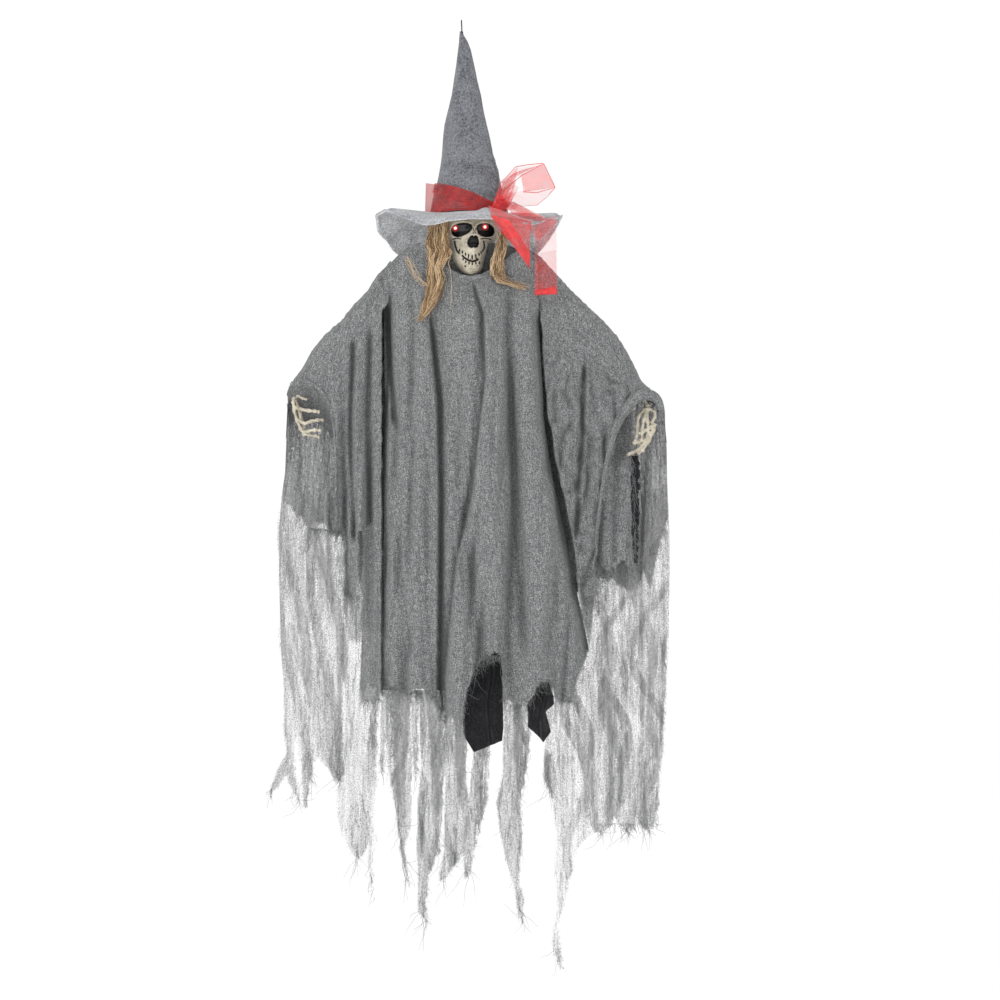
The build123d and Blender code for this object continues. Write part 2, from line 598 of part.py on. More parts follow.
for name, shoulder in SHOULDERS.items():
    with BuildPart() as pin:
        with Locations(Plane(origin=shoulder, z_dir=(0, 1, 0))):
            Cylinder(PIN_R, 2 * (EAR_Y + EAR_T))
        for y in (-EAR_Y - EAR_T, EAR_Y + EAR_T):
            facing = 1 if y > 0 else -1
            with Locations(Plane(origin=shoulder + Vector(0, y, 0), z_dir=(0, facing, 0))):
                Cylinder(5, 1.6, align=BASE)
    save(pin, f"{name}_shoulder_pin")

# ---- arms ---------------------------------------------------------------------------------
EYE_R, SOCKET_R, SOCKET_L, PEG_R = 8.0, 9.0, 30.0, 4.0
for name, side in SIDES.items():
    shoulder, wrist = SHOULDERS[name], Vector(*WRISTS[name])
    arm = wrist - shoulder
    along = Plane(origin=shoulder, x_dir=(0, 1, 0), z_dir=arm)
    with BuildPart() as arm_tube:
        with Locations(Plane(origin=shoulder, z_dir=(0, 1, 0))):
            Cylinder(EYE_R, 2 * EAR_Y - 1.0)
        with BuildSketch(along):
            Circle(ARM_R)
        extrude(amount=arm.length - SOCKET_L)
        with Locations(Plane(origin=shoulder, z_dir=(0, 1, 0))):
            Cylinder(EYE_BORE, 2 * EAR_Y + 2, mode=Mode.SUBTRACT)
    save(arm_tube, f"{name}_arm_tube")

    with BuildPart() as wrist_socket:
        with BuildSketch(along.offset(arm.length - SOCKET_L - 12)):
            Circle(SOCKET_R)
            Circle(ARM_R, mode=Mode.SUBTRACT)
        extrude(amount=12)
        with BuildSketch(along.offset(arm.length - SOCKET_L)):
            Circle(SOCKET_R)
        extrude(amount=SOCKET_L)
        with BuildSketch(along.offset(arm.length - 22)):
            Circle(PEG_R + RUNNING)
        extrude(amount=22, mode=Mode.SUBTRACT)
    save(wrist_socket, f"{name}_wrist_socket")

    with BuildPart() as padding:
        with BuildSketch(along.offset(48)):
            Circle(PADDING_R)
            Circle(ARM_R, mode=Mode.SUBTRACT)
        extrude(amount=arm.length - SOCKET_L - 12 - 48)
        fillet(padding.edges().filter_by(GeomType.CIRCLE).filter_by(lambda e: e.radius > ARM_R + 1), 6)
    save(padding, f"{name}_arm_padding")

    with BuildPart() as sleeve:
        with BuildSketch(along.offset(62)):
            Ellipse(SLEEVE_R - 2, SLEEVE_R - 4)
            Circle(PADDING_R + 1, mode=Mode.SUBTRACT)
        with BuildSketch(along.offset(arm.length + 4)):
            Ellipse(SLEEVE_R, SLEEVE_R - 6)
            Circle(PADDING_R + 1, mode=Mode.SUBTRACT)
        loft()
    save(sleeve, f"{name}_sleeve")

# ---- hands: each digit runs through these places, measured from the wrist ------------------
HAND_ROOT = {"left": (-8, -4, -14), "right": (4, -4, -18)}
DIGITS = {
    "left": (
        ((-7, -20, -27), (8, -27, -34), (14, -22, -42)),
        ((-13, -22, -48), (12, -36, -52), (32, -30, -56)),
        ((-7, -22, -64), (20, -39, -66), (42, -30, -70)),
        ((0, -20, -79), (22, -36, -82), (41, -28, -92)),
        ((8, -13, -92), (25, -25, -97), (37, -20, -109)),
    ),
    "right": (
        ((11, -24, -38), (-4, -34, -46), (-14, -30, -56)),
        ((6, -25, -62), (-13, -37, -74), (-21, -26, -88)),
        ((-3, -22, -70), (-21, -34, -86), (-31, -22, -101)),
        ((-11, -18, -68), (-28, -28, -88), (-41, -16, -105)),
        ((-18, -11, -62), (-35, -19, -78), (-48, -8, -92)),
    ),
}
BONE_R, PALM_R = (3.4, 3.0, 2.5), 6.0
for name in SIDES:
    wrist = Vector(*WRISTS[name])
    arm = (wrist - SHOULDERS[name]).normalized()
    root = wrist + Vector(*HAND_ROOT[name])
    peg = Plane(origin=wrist - arm * 20, z_dir=arm) * Cylinder(PEG_R, 24, align=BASE)
    bones = bone(wrist + arm * 4.5, root, PALM_R)
    for digit in DIGITS[name]:
        start = root
        for place, radius in zip(digit, BONE_R):
            end = wrist + Vector(*place)
            bones += bone(start, end, radius)
            start = end
    with BuildPart() as hand:
        add(peg.fuse(*bones))
    save(hand, f"{name}_hand")

# ---- legs and hip bar ---------------------------------------------------------------------
HIP_R, HIP_HALF, HEM_R = 2.5, 62.0, 6.5
hip_centre = Vector(NECK_X + (-HIP_Z + NECK_Z) * sin(LEAN), 0, HIP_Z)
with BuildPart() as hip_bar:
    with BuildSketch(CORE.offset(-HOUSING_H - LUG_T)):
        Rectangle(20, 16)
        Circle(ROD_R + RUNNING, mode=Mode.SUBTRACT)
    extrude(amount=LUG_T)
    for y in (-8, 5):
        with Locations(CORE * Location((0, y + 1.5, -HOUSING_H - 14))):
            Box(12, 3, 28)
    with Locations(Plane(origin=hip_centre, z_dir=(1, 0, 0))):
        Cylinder(HIP_R, 2 * HIP_HALF)
    with Locations(hip_centre):
        Box(12, 16, 8)
    for side in (-1, 1):
        with Locations(Plane(origin=hip_centre + Vector(side * HIP_HALF, 0, 0), z_dir=(side, 0, 0))):
            Cylinder(5, 2, align=BASE)
save(hip_bar, "hip_bar")

LEG_OUTLINES = {
    "left": ((82, -1215), (80, -1330), (64, -1376), (22, LEG_BOTTOM_Z), (3, -1356), (2, -1250)),
    "right": ((148, -1215), (157, -1330), (150, -1381), (128, -1360), (112, -1262)),
}
for name, side in SIDES.items():
    hip_x = hip_centre.X + side * 36
    with BuildPart() as leg:
        with Locations(Plane(origin=(hip_x, 0, HIP_Z), z_dir=(1, 0, 0))):
            Cylinder(HEM_R, 42)
        with BuildSketch(Plane.XZ.offset(-FELT_LEG / 2)):
            with BuildLine():
                Polyline((hip_x - 21, HIP_Z), (hip_x + 21, HIP_Z), *LEG_OUTLINES[name], close=True)
            make_face()
        extrude(amount=FELT_LEG)
        with Locations(Plane(origin=(hip_x, 0, HIP_Z), z_dir=(1, 0, 0))):
            Cylinder(HIP_R + RUNNING, 60, mode=Mode.SUBTRACT)
    save(leg, f"{name}_leg")

# ---- robe ---------------------------------------------------------------------------------
ROBE_SECTIONS = ((ROBE_TOP_Z, 104, 80), (-620, 128, 92), (-900, 152, 102), (ROBE_HEM_Z, 166, 110))
ARMHOLE_R = 78.0


def robe_form(inset):
    """The robe's outer or inner form, through its level sections."""
    with BuildPart() as form:
        for z, half_width, half_depth in ROBE_SECTIONS:
            with BuildSketch(Plane(origin=(ROBE_CENTRE_X, 0, z))):
                Ellipse(half_width - inset, half_depth - inset)
        loft(ruled=True)
    return form.part


with BuildPart() as robe_body:
    add(robe_form(0))
    add(robe_form(CLOTH), mode=Mode.SUBTRACT)
    with Locations(*SHOULDERS.values()):
        Sphere(ARMHOLE_R, mode=Mode.SUBTRACT)
save(robe_body, "robe_body")

# Torn strips that hang below the hem: angle round the robe, width and lowest point.
TATTERS = ((246, 44, -1540), (262, 30, -1600), (278, 36, -1480), (293, 26, -1690), (306, 30, -1620), (232, 34, -1620),
           (322, 40, LOWEST_Z), (120, 40, -1560), (90, 46, -1500), (60, 40, -1590), (150, 34, -1520), (30, 34, -1540))
with BuildPart() as robe_tatters:
    for angle, width, bottom in TATTERS:
        turn = radians(angle)
        place = Vector(ROBE_CENTRE_X + (166 - CLOTH / 2) * cos(turn), (110 - CLOTH / 2) * sin(turn), ROBE_HEM_Z)
        outward = Vector(cos(turn) / 166, sin(turn) / 110, 0).normalized()
        with BuildSketch(Plane(origin=place - outward, x_dir=(-outward.Y, outward.X, 0), z_dir=outward)):
            with BuildLine():
                half, drop = width / 2, bottom - ROBE_HEM_Z
                Polyline((-half, 0), (half, 0), (half, drop * 0.55), (half * 0.3, drop), (-half * 0.2, drop),
                         (-half * 0.7, drop * 0.6), close=True)
            make_face()
        extrude(amount=2)
save(robe_tatters, "robe_tatters")

# ---- side drapes: pleated cloth that hangs from each wrist ---------------------------------
DRAPES = {"left": (-349, -241, -1500), "right": (286, 394, -1560)}
PLEATS, PLEAT_DEPTH, DRAPE_Y, DRAPE_T = 6, 9.0, 40.0, 5.0
for name, (low_x, high_x, bottom) in DRAPES.items():
    step = (high_x - low_x) / PLEATS
    ridge = [(low_x + i * step, DRAPE_Y + PLEAT_DEPTH * (i % 2)) for i in range(PLEATS + 1)]
    back = [(x, y + DRAPE_T) for x, y in reversed(ridge)]
    with BuildPart() as drape:
        with BuildSketch(Plane.XY.offset(bottom)):
            with BuildLine():
                Polyline(*ridge, *back, close=True)
            make_face()
        extrude(amount=WRISTS[name][2] - 62 - bottom)
    save(drape, f"{name}_drape")
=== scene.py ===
import bpy
import json
import math
import numpy as np
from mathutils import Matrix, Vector


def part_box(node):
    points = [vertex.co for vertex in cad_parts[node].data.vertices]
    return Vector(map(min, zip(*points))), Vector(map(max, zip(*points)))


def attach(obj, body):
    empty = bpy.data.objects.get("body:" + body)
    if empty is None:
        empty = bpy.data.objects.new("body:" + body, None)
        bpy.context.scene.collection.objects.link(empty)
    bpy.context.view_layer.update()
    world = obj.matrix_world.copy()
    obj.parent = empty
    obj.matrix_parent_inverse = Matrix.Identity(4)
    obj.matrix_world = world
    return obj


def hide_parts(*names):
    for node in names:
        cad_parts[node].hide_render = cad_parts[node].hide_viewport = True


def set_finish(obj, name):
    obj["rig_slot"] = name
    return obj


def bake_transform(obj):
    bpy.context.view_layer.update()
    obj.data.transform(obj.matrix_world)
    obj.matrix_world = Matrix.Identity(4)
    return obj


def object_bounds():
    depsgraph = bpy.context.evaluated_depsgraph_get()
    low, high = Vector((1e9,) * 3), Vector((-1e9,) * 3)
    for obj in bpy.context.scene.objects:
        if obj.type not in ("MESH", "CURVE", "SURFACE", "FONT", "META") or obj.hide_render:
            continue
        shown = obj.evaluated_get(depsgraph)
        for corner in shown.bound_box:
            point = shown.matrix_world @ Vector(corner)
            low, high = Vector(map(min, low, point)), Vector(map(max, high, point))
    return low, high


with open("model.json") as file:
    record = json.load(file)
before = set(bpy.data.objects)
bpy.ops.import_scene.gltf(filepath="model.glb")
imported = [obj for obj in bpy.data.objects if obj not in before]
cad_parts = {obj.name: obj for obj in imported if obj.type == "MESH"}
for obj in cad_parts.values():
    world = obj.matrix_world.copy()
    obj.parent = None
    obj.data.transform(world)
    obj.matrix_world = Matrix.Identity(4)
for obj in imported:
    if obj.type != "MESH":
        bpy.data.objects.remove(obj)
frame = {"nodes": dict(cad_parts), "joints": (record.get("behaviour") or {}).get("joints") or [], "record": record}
cad_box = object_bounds()
MM = 0.001

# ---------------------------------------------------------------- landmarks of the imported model
joints = {j["name"]: j for j in frame["joints"]}
NECK = np.array(joints["head_turn"]["pos_m"], float)
UP = np.array(joints["head_turn"]["axis"], float)
WRIST = {s: np.array(joints[f"{s}_wrist_turn"]["pos_m"], float) for s in ("left", "right")}
FLOOR_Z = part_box("robe_tatters")[0].z - 0.10


# ---------------------------------------------------------------- small numeric helpers
def table(t, pairs):
    """The value at t of a line through (t, value) pairs."""
    p = np.array(pairs, float)
    p = p[np.argsort(p[:, 0], kind="stable")]
    return np.interp(t, p[:, 0], p[:, 1])


def bell(t):
    return np.exp(-(t**2))


def turns(count):
    """Even angles once round, the last one short of the first."""
    return np.linspace(0, 2 * math.pi, count, endpoint=False)


def off_by(a, b):
    """The angle from b round to a, between -pi and pi."""
    return np.mod(a - b + math.pi, 2 * math.pi) - math.pi


def unit(v):
    return v / (np.linalg.norm(v, axis=-1, keepdims=True) + 1e-12)


def ring_points(middle_x, r, a, z):
    return np.stack([middle_x + r * np.cos(a), -r * np.sin(a), z], -1)


def smooth(t):
    t = np.clip(t, 0, 1)
    return t * t * (3 - 2 * t)


def waves(x, z, scale, seed, count=6):
    """Smooth noise, about -1 to 1, that changes over scale, in the units of x and z."""
    r = np.random.default_rng(seed)
    out = 0
    for _ in range(count):
        a, f, p = r.uniform(0, 2 * math.pi), 2 * math.pi / scale * r.uniform(0.6, 1.5), r.uniform(0,
            2 * math.pi)
        out = out + np.sin((x * math.cos(a) + z * math.sin(a)) * f + p)
    return out / math.sqrt(count)


def jagged(t, step, seed):
    """Torn-edge noise, -1 to 1: straight runs between random heights, a step of t apart."""
    r = np.random.default_rng(seed).uniform(-1, 1, 4000)
    k = np.asarray(t, float) / step + 1500
    i = np.floor(k).astype(int)
    return r[i % 4000] * (1 - (k - i)) + r[(i + 1) % 4000] * (k - i)


def along_path(points, s):
    """Points at s, in steps of the path's own points."""
    p = np.array(points, float)
    return np.stack([np.interp(s, range(len(p)), p[:, k]) for k in range(3)], -1)


def eased(line):
    """The line with each value averaged over nine points."""
    return np.convolve(np.pad(line, 4, "edge"), np.ones(9) / 9, "valid")


# ---------------------------------------------------------------- mesh helpers
class Net:
    """Gathers grids of quads, with each point's place on the flat cloth and its density, into one mesh."""

    def __init__(self):
        self.points, self.quads, self.lay, self.count = [], [], [], 0

    def grid(self, points, lay, keep=None, closed=False, ring=False):
        rows, cols = points.shape[:2]
        index = np.arange(rows * cols).reshape(rows, cols) + self.count
        if closed:
            index = np.concatenate([index, index[:, :1]], axis=1)
        if ring:
            index = np.concatenate([index, index[:1]], axis=0)
        quads = np.stack([index[:-1, :-1], index[:-1, 1:], index[1:, 1:], index[1:, :-1]], -1)
        self.quads.append(quads[keep] if keep is not None else quads.reshape(-1, 4))
        self.points.append(points.reshape(-1, 3))
        self.lay.append(lay.reshape(-1, 3))
        self.count += rows * cols
        return self

    def tubes(self, lines, radius, shade, sides=3):
        """Thin tapering threads along lines[thread][point]."""
        n, k = lines.shape[:2]
        along = unit(np.gradient(lines, axis=1))
        across = unit(np.cross(along, np.array([0.31, 0.9, 0.27])))
        other = np.cross(along, across)
        taper = radius * (1 - 0.6 * np.linspace(0, 1, k) ** 3)[None, :, None]
        ring = [lines + taper * (across * math.cos(a) + other * math.sin(a)) for a in turns(sides)]
        ring = np.stack(ring, axis=2)
        index = np.arange(n * k * sides).reshape(n, k, sides) + self.count
        index = np.concatenate([index, index[:, :, :1]], axis=2)
        quads = np.stack([index[:, :-1, :-1], index[:, :-1, 1:], index[:, 1:, 1:], index[:, 1:, :-1]], -1)
        self.quads.append(quads.reshape(-1, 4))
        self.points.append(ring.reshape(-1, 3))
        lay = np.zeros((n, k, sides, 3))
        lay[..., 0] = shade[:, None, None]
        lay[..., 1] = np.linspace(0, 1, k)[None, :, None]
        lay[..., 2] = 1
        self.lay.append(lay.reshape(-1, 3))
        self.count += n * k * sides
        return self

    def piece(self, name, material, slot, body=None):
        points, quads, lay = np.concatenate(self.points), np.concatenate(self.quads), np.concatenate(self.lay)
        used, quads = np.unique(quads, return_inverse=True)
        quads = quads.reshape(-1, 4)
        points, lay = points[used], lay[used]
        mesh = bpy.data.meshes.new(name)
        mesh.vertices.add(len(points))
        mesh.vertices.foreach_set("co", points.astype(np.float32).ravel())
        mesh.loops.add(quads.size)
        mesh.loops.foreach_set("vertex_index", quads.astype(np.int32).ravel())
        mesh.polygons.add(len(quads))
        mesh.polygons.foreach_set("loop_start", np.arange(0, quads.size, 4, dtype=np.int32))
        mesh.polygons.foreach_set("use_smooth", np.ones(len(quads), bool))
        mesh.update(calc_edges=True)
        mesh.attributes.new("lay", "FLOAT_VECTOR", "POINT").data.foreach_set("vector",
            lay.astype(np.float32).ravel())
        mesh.validate()
        o = bpy.data.objects.new(name, mesh)
        bpy.context.scene.collection.objects.link(o)
        for m in material if isinstance(material, list) else [material]:
            mesh.materials.append(m)
        if isinstance(material, list):
            mesh.polygons.foreach_set("material_index", (lay[quads, 2].min(axis=1) < 1.25).astype(np.int32))
        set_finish(o, slot)
        if body:
            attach(o, body)
        return o


def flat_lay(points, density=1.0):
    """Each grid point's place on the flat cloth, from the lengths along its rows and columns."""
    lay = np.zeros(points.shape)
    lay[:, 1:, 0] = np.cumsum(np.linalg.norm(np.diff(points, axis=1), axis=2), axis=1).mean(axis=0)[None]
    lay[1:, :, 1] = np.cumsum(np.linalg.norm(np.diff(points, axis=0), axis=2), axis=0).mean(axis=1)[:, None]
    lay[..., 2] = density
    return lay


# ---------------------------------------------------------------- materials
class Nodes:
    """Short names for building one node material."""

    def __init__(self, name):
        self.material = bpy.data.materials.new(name)
        self.material.use_nodes = True
        self.tree = self.material.node_tree
        self.tree.nodes.clear()
        self.out = self.tree.nodes.new("ShaderNodeOutputMaterial")

    def link(self, value, socket):
        if isinstance(value, bpy.types.NodeSocket):
            self.tree.links.new(value, socket)
        elif socket.type == "RGBA" and len(value) == 3:
            socket.default_value = (*value, 1)
        else:
            socket.default_value = value

    def node(self, kind, out=0, **inputs):
        n = self.tree.nodes.new(kind)
        for key, value in inputs.items():
            if hasattr(n, key) and not isinstance(value, bpy.types.NodeSocket) and key.islower():
                setattr(n, key, value)
            elif key[0] == "_":
                self.link(value, n.inputs[int(key[1:])])
            else:
                self.link(value, n.inputs[key.replace("_", " ")])
        return n.outputs[out]

    def coords(self):
        return self.node("ShaderNodeTexCoord", out="Object")

    def lay(self):
        """Place on the flat cloth, in metres, and the cloth's density or the paint's strength; both also carry
        painted shade.
        """
        return self.node("ShaderNodeAttribute", out="Vector", attribute_name="lay")

    def lay_value(self, index):
        return self.node("ShaderNodeSeparateXYZ", out=index, Vector=self.lay())

    def stretched(self, where, scale):
        return self.node("ShaderNodeMapping", Vector=where, Scale=scale)

    def lines(self, where, scale, distortion, way, **more):
        more.update(Scale=scale, Distortion=distortion, bands_direction=way)
        return self.node("ShaderNodeTexWave", out="Fac", Vector=where, **more)

    def times(self, a, b):
        return self.math("MULTIPLY", a, b)

    def add(self, a, b):
        return self.math("ADD", a, b)

    def noise(self, where, scale, detail=3.0, rough=0.55, out="Fac"):
        return self.node("ShaderNodeTexNoise", out=out, Vector=where, Scale=scale, Detail=detail,
            Roughness=rough)

    def ramp(self, value, *stops):
        n = self.tree.nodes.new("ShaderNodeValToRGB")
        n.color_ramp.elements.remove(n.color_ramp.elements[1])
        for i, (at, colour) in enumerate(stops):
            e = n.color_ramp.elements[0] if i == 0 else n.color_ramp.elements.new(at)
            e.position = at
            e.color = (*colour, 1) if hasattr(colour, "__len__") else (colour, colour, colour, 1)
        self.link(value, n.inputs[0])
        return n.outputs[0]

    def math(self, operation, a, b=0.5, clamp=False):
        return self.node("ShaderNodeMath", operation=operation, use_clamp=clamp, _0=a, _1=b)

    def mix(self, fac, a, b, blend="MIX"):
        n = self.tree.nodes.new("ShaderNodeMix")
        n.data_type, n.blend_type = "RGBA", blend
        self.link(fac, n.inputs[0])
        self.link(a, n.inputs[6])
        self.link(b, n.inputs[7])
        return n.outputs[2]

    def bump(self, height, strength, distance, normal=None):
        n = self.tree.nodes.new("ShaderNodeBump")
        n.inputs["Strength"].default_value, n.inputs["Distance"].default_value = strength, distance
        self.link(height, n.inputs["Height"])
        if normal is not None:
            self.link(normal, n.inputs["Normal"])
        return n.outputs[0]

    def finish(self, colour, rough, normal=None, **more):
        n = self.tree.nodes.new("ShaderNodeBsdfPrincipled")
        self.link(colour, n.inputs["Base Color"])
        self.link(rough, n.inputs["Roughness"])
        if normal is not None:
            self.link(normal, n.inputs["Normal"])
        for key, value in more.items():
            self.link(value, n.inputs[key.replace("_", " ")])
        self.tree.links.new(n.outputs[0], self.out.inputs[0])
        return self.material


def cloth_material(name, sheer):
    """Loose-woven heather cloth. The sheer one lets light between its threads where its density is low."""
    m = Nodes(name)
    flat, place = m.lay(), m.coords()
    density = m.lay_value(2)
    slub = m.noise(m.stretched(flat, (520, 110, 1)), 1.0, 2, 0.6)
    weft = m.noise(m.stretched(flat, (120, 520, 1)), 1.0, 2, 0.6)
    speck = m.noise(place, 480, 2, 0.85)
    blotch = m.noise(place, 24, 3, 0.6)
    yarn = m.add(m.times(slub, 0.24), m.add(m.times(weft, 0.16), m.times(speck, 0.60)))
    dense = m.ramp(yarn, (0.40, DENSE[0]), (0.5, DENSE[1]), (0.60, DENSE[2]))
    open_weave = m.ramp(yarn, (0.38, OPEN[0]), (0.5, OPEN[1]), (0.62, OPEN[2]))
    colour = m.mix(m.ramp(density, (0.6, 0.0), (1.0, 1.0)), open_weave, dense)
    # painted shade: density above 1.35, raised in the floors of folds, darkens the colour towards near black
    colour = m.mix(m.ramp(m.math("SUBTRACT", density, 1.35), (0.0, 0.0), (0.9, 0.88)), colour, NEAR_BLACK)
    colour = m.mix(m.ramp(blotch, (0.35, 0.0), (0.75, 0.35)), colour, (0.80, 0.81, 0.83), "MULTIPLY")
    warp = m.lines(flat, 130.0, 1.6, "X", Detail=2.0)
    woof = m.lines(flat, 130.0, 1.6, "Y", Detail=2.0)
    thread = m.math("MAXIMUM", warp, woof)
    crinkle = m.noise(m.stretched(flat, (75, 20, 1)), 1.0, 4, 0.65)
    height = m.add(m.times(thread, 0.4), yarn)
    normal = m.bump(crinkle, 0.25, 0.004, m.bump(height, 0.7, 0.0012))
    more = dict(Sheen_Weight=0.12, Sheen_Roughness=0.6, Specular_IOR_Level=0.1)
    if sheer:
        wander = m.noise(m.stretched(flat, (50, 6, 1)), 1.0, 3, 0.62)
        line = m.ramp(m.math("ABSOLUTE", m.math("SUBTRACT", wander, 0.5)), (0.0, 1.0), (0.03, 0.0))
        drawn = m.times(m.math("SUBTRACT", m.noise(m.stretched(flat, (150, 17, 1)), 1.0, 3, 0.6), 0.5), 0.7)
        fine = m.times(m.math("SUBTRACT", m.noise(place, 400, 3, 0.9), 0.5), 2.6)
        cover = m.add(m.add(density, fine), m.add(drawn, m.times(line, 0.30)))
        more["Alpha"] = m.ramp(cover, (0.04, 0.0), (0.40, 0.46), (0.8, 0.88), (1.05, 1.0))
        colour = m.mix(m.times(line, 0.55), colour, (0.13, 0.133, 0.135))
    return m.finish(colour, 0.92, normal, **more)


def felt_material(name, dark, light, scale=1.0):
    m = Nodes(name)
    place = m.coords()
    mottle = m.noise(place, 290 * scale, 3, 0.8)
    fibre = m.noise(m.stretched(place, (900, 900, 260)), 1.0, 3, 0.7)
    patch = m.noise(place, 34, 3, 0.6)
    mixed = m.add(m.times(mottle, 0.55), m.add(m.times(fibre, 0.25), m.times(patch, 0.2)))
    colour = m.ramp(mixed, (0.39, dark), (0.60, light))
    return m.finish(colour, 0.95, m.bump(m.noise(place, 700, 4, 0.7), 0.4, 0.0012,
            m.bump(mottle, 0.3, 0.002)), Sheen_Weight=0.25, Sheen_Roughness=0.5, Specular_IOR_Level=0.1)


def organza_material(name, cover, dark, light):
    """Sheer red ribbon: crossed fine threads, more solid where it is gathered."""
    m = Nodes(name)
    flat = m.lay()
    density = m.lay_value(2)
    warp = m.lines(flat, 220.0, 0.3, "X")
    woof = m.lines(flat, 220.0, 0.3, "Y")
    thread = m.math("MAXIMUM", warp, woof)
    cloud = m.noise(m.coords(), 60, 3, 0.6)
    alpha = m.math("ADD", m.times(density, cover), m.times(m.math("SUBTRACT", m.add(thread, cloud), 1.1),
            0.16), clamp=True)
    colour = m.ramp(cloud, (0.3, dark), (0.7, light))
    return m.finish(colour, 0.42, m.bump(thread, 0.25, 0.0004), Alpha=alpha, Sheen_Weight=0.3,
        Specular_IOR_Level=0.5)


def bone_material(name):
    m = Nodes(name)
    place = m.coords()
    paint_and_shade = m.lay_value(2)
    stain = m.noise(place, 60, 5, 0.7)
    grain = m.noise(place, 420, 4, 0.7)
    colour = m.ramp(m.add(m.times(stain, 0.65), m.times(grain, 0.35)), (0.32, (0.20, 0.17, 0.12)),
        (0.48, (0.44, 0.40, 0.315)), (0.66, (0.60, 0.56, 0.465)))
    # the paint channel darkens the bone: the skull's black-painted crevices, plus painted shade in deep recesses
    # and on the hands' lower faces
    edge = m.add(paint_and_shade, m.times(m.math("SUBTRACT", grain, 0.5), 0.45))
    colour = m.mix(m.ramp(edge, (0.30, 0.0), (0.52, 1.0)), colour, (0.006, 0.005, 0.005))
    return m.finish(colour, m.ramp(grain, (0.3, 0.42), (0.7, 0.62)),
        m.bump(grain, 0.25, 0.0008, m.bump(stain, 0.3, 0.002)), Specular_IOR_Level=0.35)


def hair_material(name):
    m = Nodes(name)
    shade = m.lay_value(0)
    fine = m.noise(m.coords(), 160, 3, 0.7)
    mixed = m.add(m.times(shade, 0.6), m.times(fine, 0.4))
    colour = m.ramp(mixed, (0.22, (0.13, 0.07, 0.03)), (0.5, (0.44, 0.28, 0.14)),
        (0.78, (0.78, 0.60, 0.38)))
    return m.finish(colour, 0.6, m.bump(fine, 0.3, 0.001), Specular_IOR_Level=0.3, Sheen_Weight=0.1)


def plastic_material(name, base, rough=0.5, grain=600, strength=0.15):
    m = Nodes(name)
    place = m.coords()
    fine = m.noise(place, grain, 3, 0.6)
    wide = m.noise(place, 40, 3, 0.6)
    colour = m.ramp(wide, (0.3, tuple(c * 0.82 for c in base)),
        (0.7, tuple(min(1, c * 1.12) for c in base)))
    return m.finish(colour, m.ramp(fine, (0.3, rough - 0.08), (0.7, rough + 0.08)),
        m.bump(fine, strength, 0.0004))


def metal_material(name, base, rough=0.32):
    m = Nodes(name)
    brushed = m.noise(m.stretched(m.coords(), (1400, 1400, 90)), 1.0, 3, 0.6)
    colour = m.ramp(brushed, (0.3, tuple(c * 0.85 for c in base)), (0.7, base))
    return m.finish(colour, m.ramp(brushed, (0.3, rough - 0.08), (0.7, rough + 0.1)),
        m.bump(brushed, 0.12, 0.0003), Metallic=1.0)


NEAR_BLACK = (0.012, 0.012, 0.013)
DENSE = ((0.062, 0.065, 0.067), (0.142, 0.146, 0.147), (0.33, 0.335, 0.332))
OPEN = ((0.13, 0.133, 0.133), (0.22, 0.223, 0.221), (0.36, 0.36, 0.355))
ROBE = cloth_material("robe_cloth", False)
GAUZE = cloth_material("robe_gauze", True)
HAT = felt_material("hat_felt", (0.036, 0.038, 0.044), (0.215, 0.221, 0.242))
# Lit and shaded copies of one felt: the top is painted darker against the key light from above, and the underside
# much lighter, as painted light in the shade under the brim.
BRIM = felt_material("brim_felt", (0.11, 0.113, 0.12), (0.46, 0.47, 0.49))
BRIM_UNDERSIDE_PAINTED_LIGHT = felt_material("brim_underside_painted_light_felt", (0.17, 0.173, 0.18), (0.84, 0.85, 0.87))
ORGANZA = organza_material("organza", 0.62, (0.50, 0.003, 0.005), (0.78, 0.012, 0.014))
ORGANZA_BAND = organza_material("organza_band", 0.74, (0.19, 0.001, 0.002), (0.44, 0.003, 0.004))
BONE = bone_material("bone")
HAIR = hair_material("hair_fibre")
FELT = felt_material("leg_felt", (0.004, 0.004, 0.005), (0.034, 0.034, 0.037), 1.2)
METALS = {"bare_steel": ((0.62, 0.62, 0.64),), "arm_alloy": ((0.75, 0.76, 0.78), 0.4)}
# Base colour, roughness, and where they differ from the usual the grain's scale and depth.
PLASTICS = {
    "black_wire": (NEAR_BLACK, 0.35),
    "housing_plastic": ((0.035, 0.035, 0.038), 0.5, 900, 0.3),
    "gear_nylon": ((0.80, 0.79, 0.72), 0.45),
    "speaker_black": ((0.02, 0.02, 0.021), 0.7, 300, 0.4),
    "board_green": ((0.02, 0.12, 0.05), 0.35),
    "cell_wrap": ((0.16, 0.17, 0.19), 0.28),
    "control_red": ((0.45, 0.02, 0.015), 0.3),
    "wrist_plastic": ((0.03, 0.03, 0.03), 0.5),
    "arm_foam": ((0.09, 0.09, 0.095), 0.9, 260, 0.8),
    "lead_pvc": ((0.015, 0.015, 0.015), 0.4),
    "former_card": ((0.36, 0.25, 0.15), 0.9, 220, 0.5),
}
PAINTS = {"bone_plastic": BONE, "hat_felt": HAT, "ribbon_organza": ORGANZA, "hair_fibre": HAIR}
PAINTS.update(robe_gauze=ROBE, leg_felt=FELT)
PAINTS.update({name: metal_material(name, *look) for name, look in METALS.items()})
PAINTS.update({name: plastic_material(name, *look) for name, look in PLASTICS.items()})
lamp = Nodes("lamp_red")
lamp_fine = lamp.noise(lamp.coords(), 900, 2)
lamp_gloss = lamp.ramp(lamp_fine, (0.3, 0.1), (0.7, 0.25))
lamp_light = dict(Emission_Color=(1.0, 0.42, 0.36), Emission_Strength=3.4)
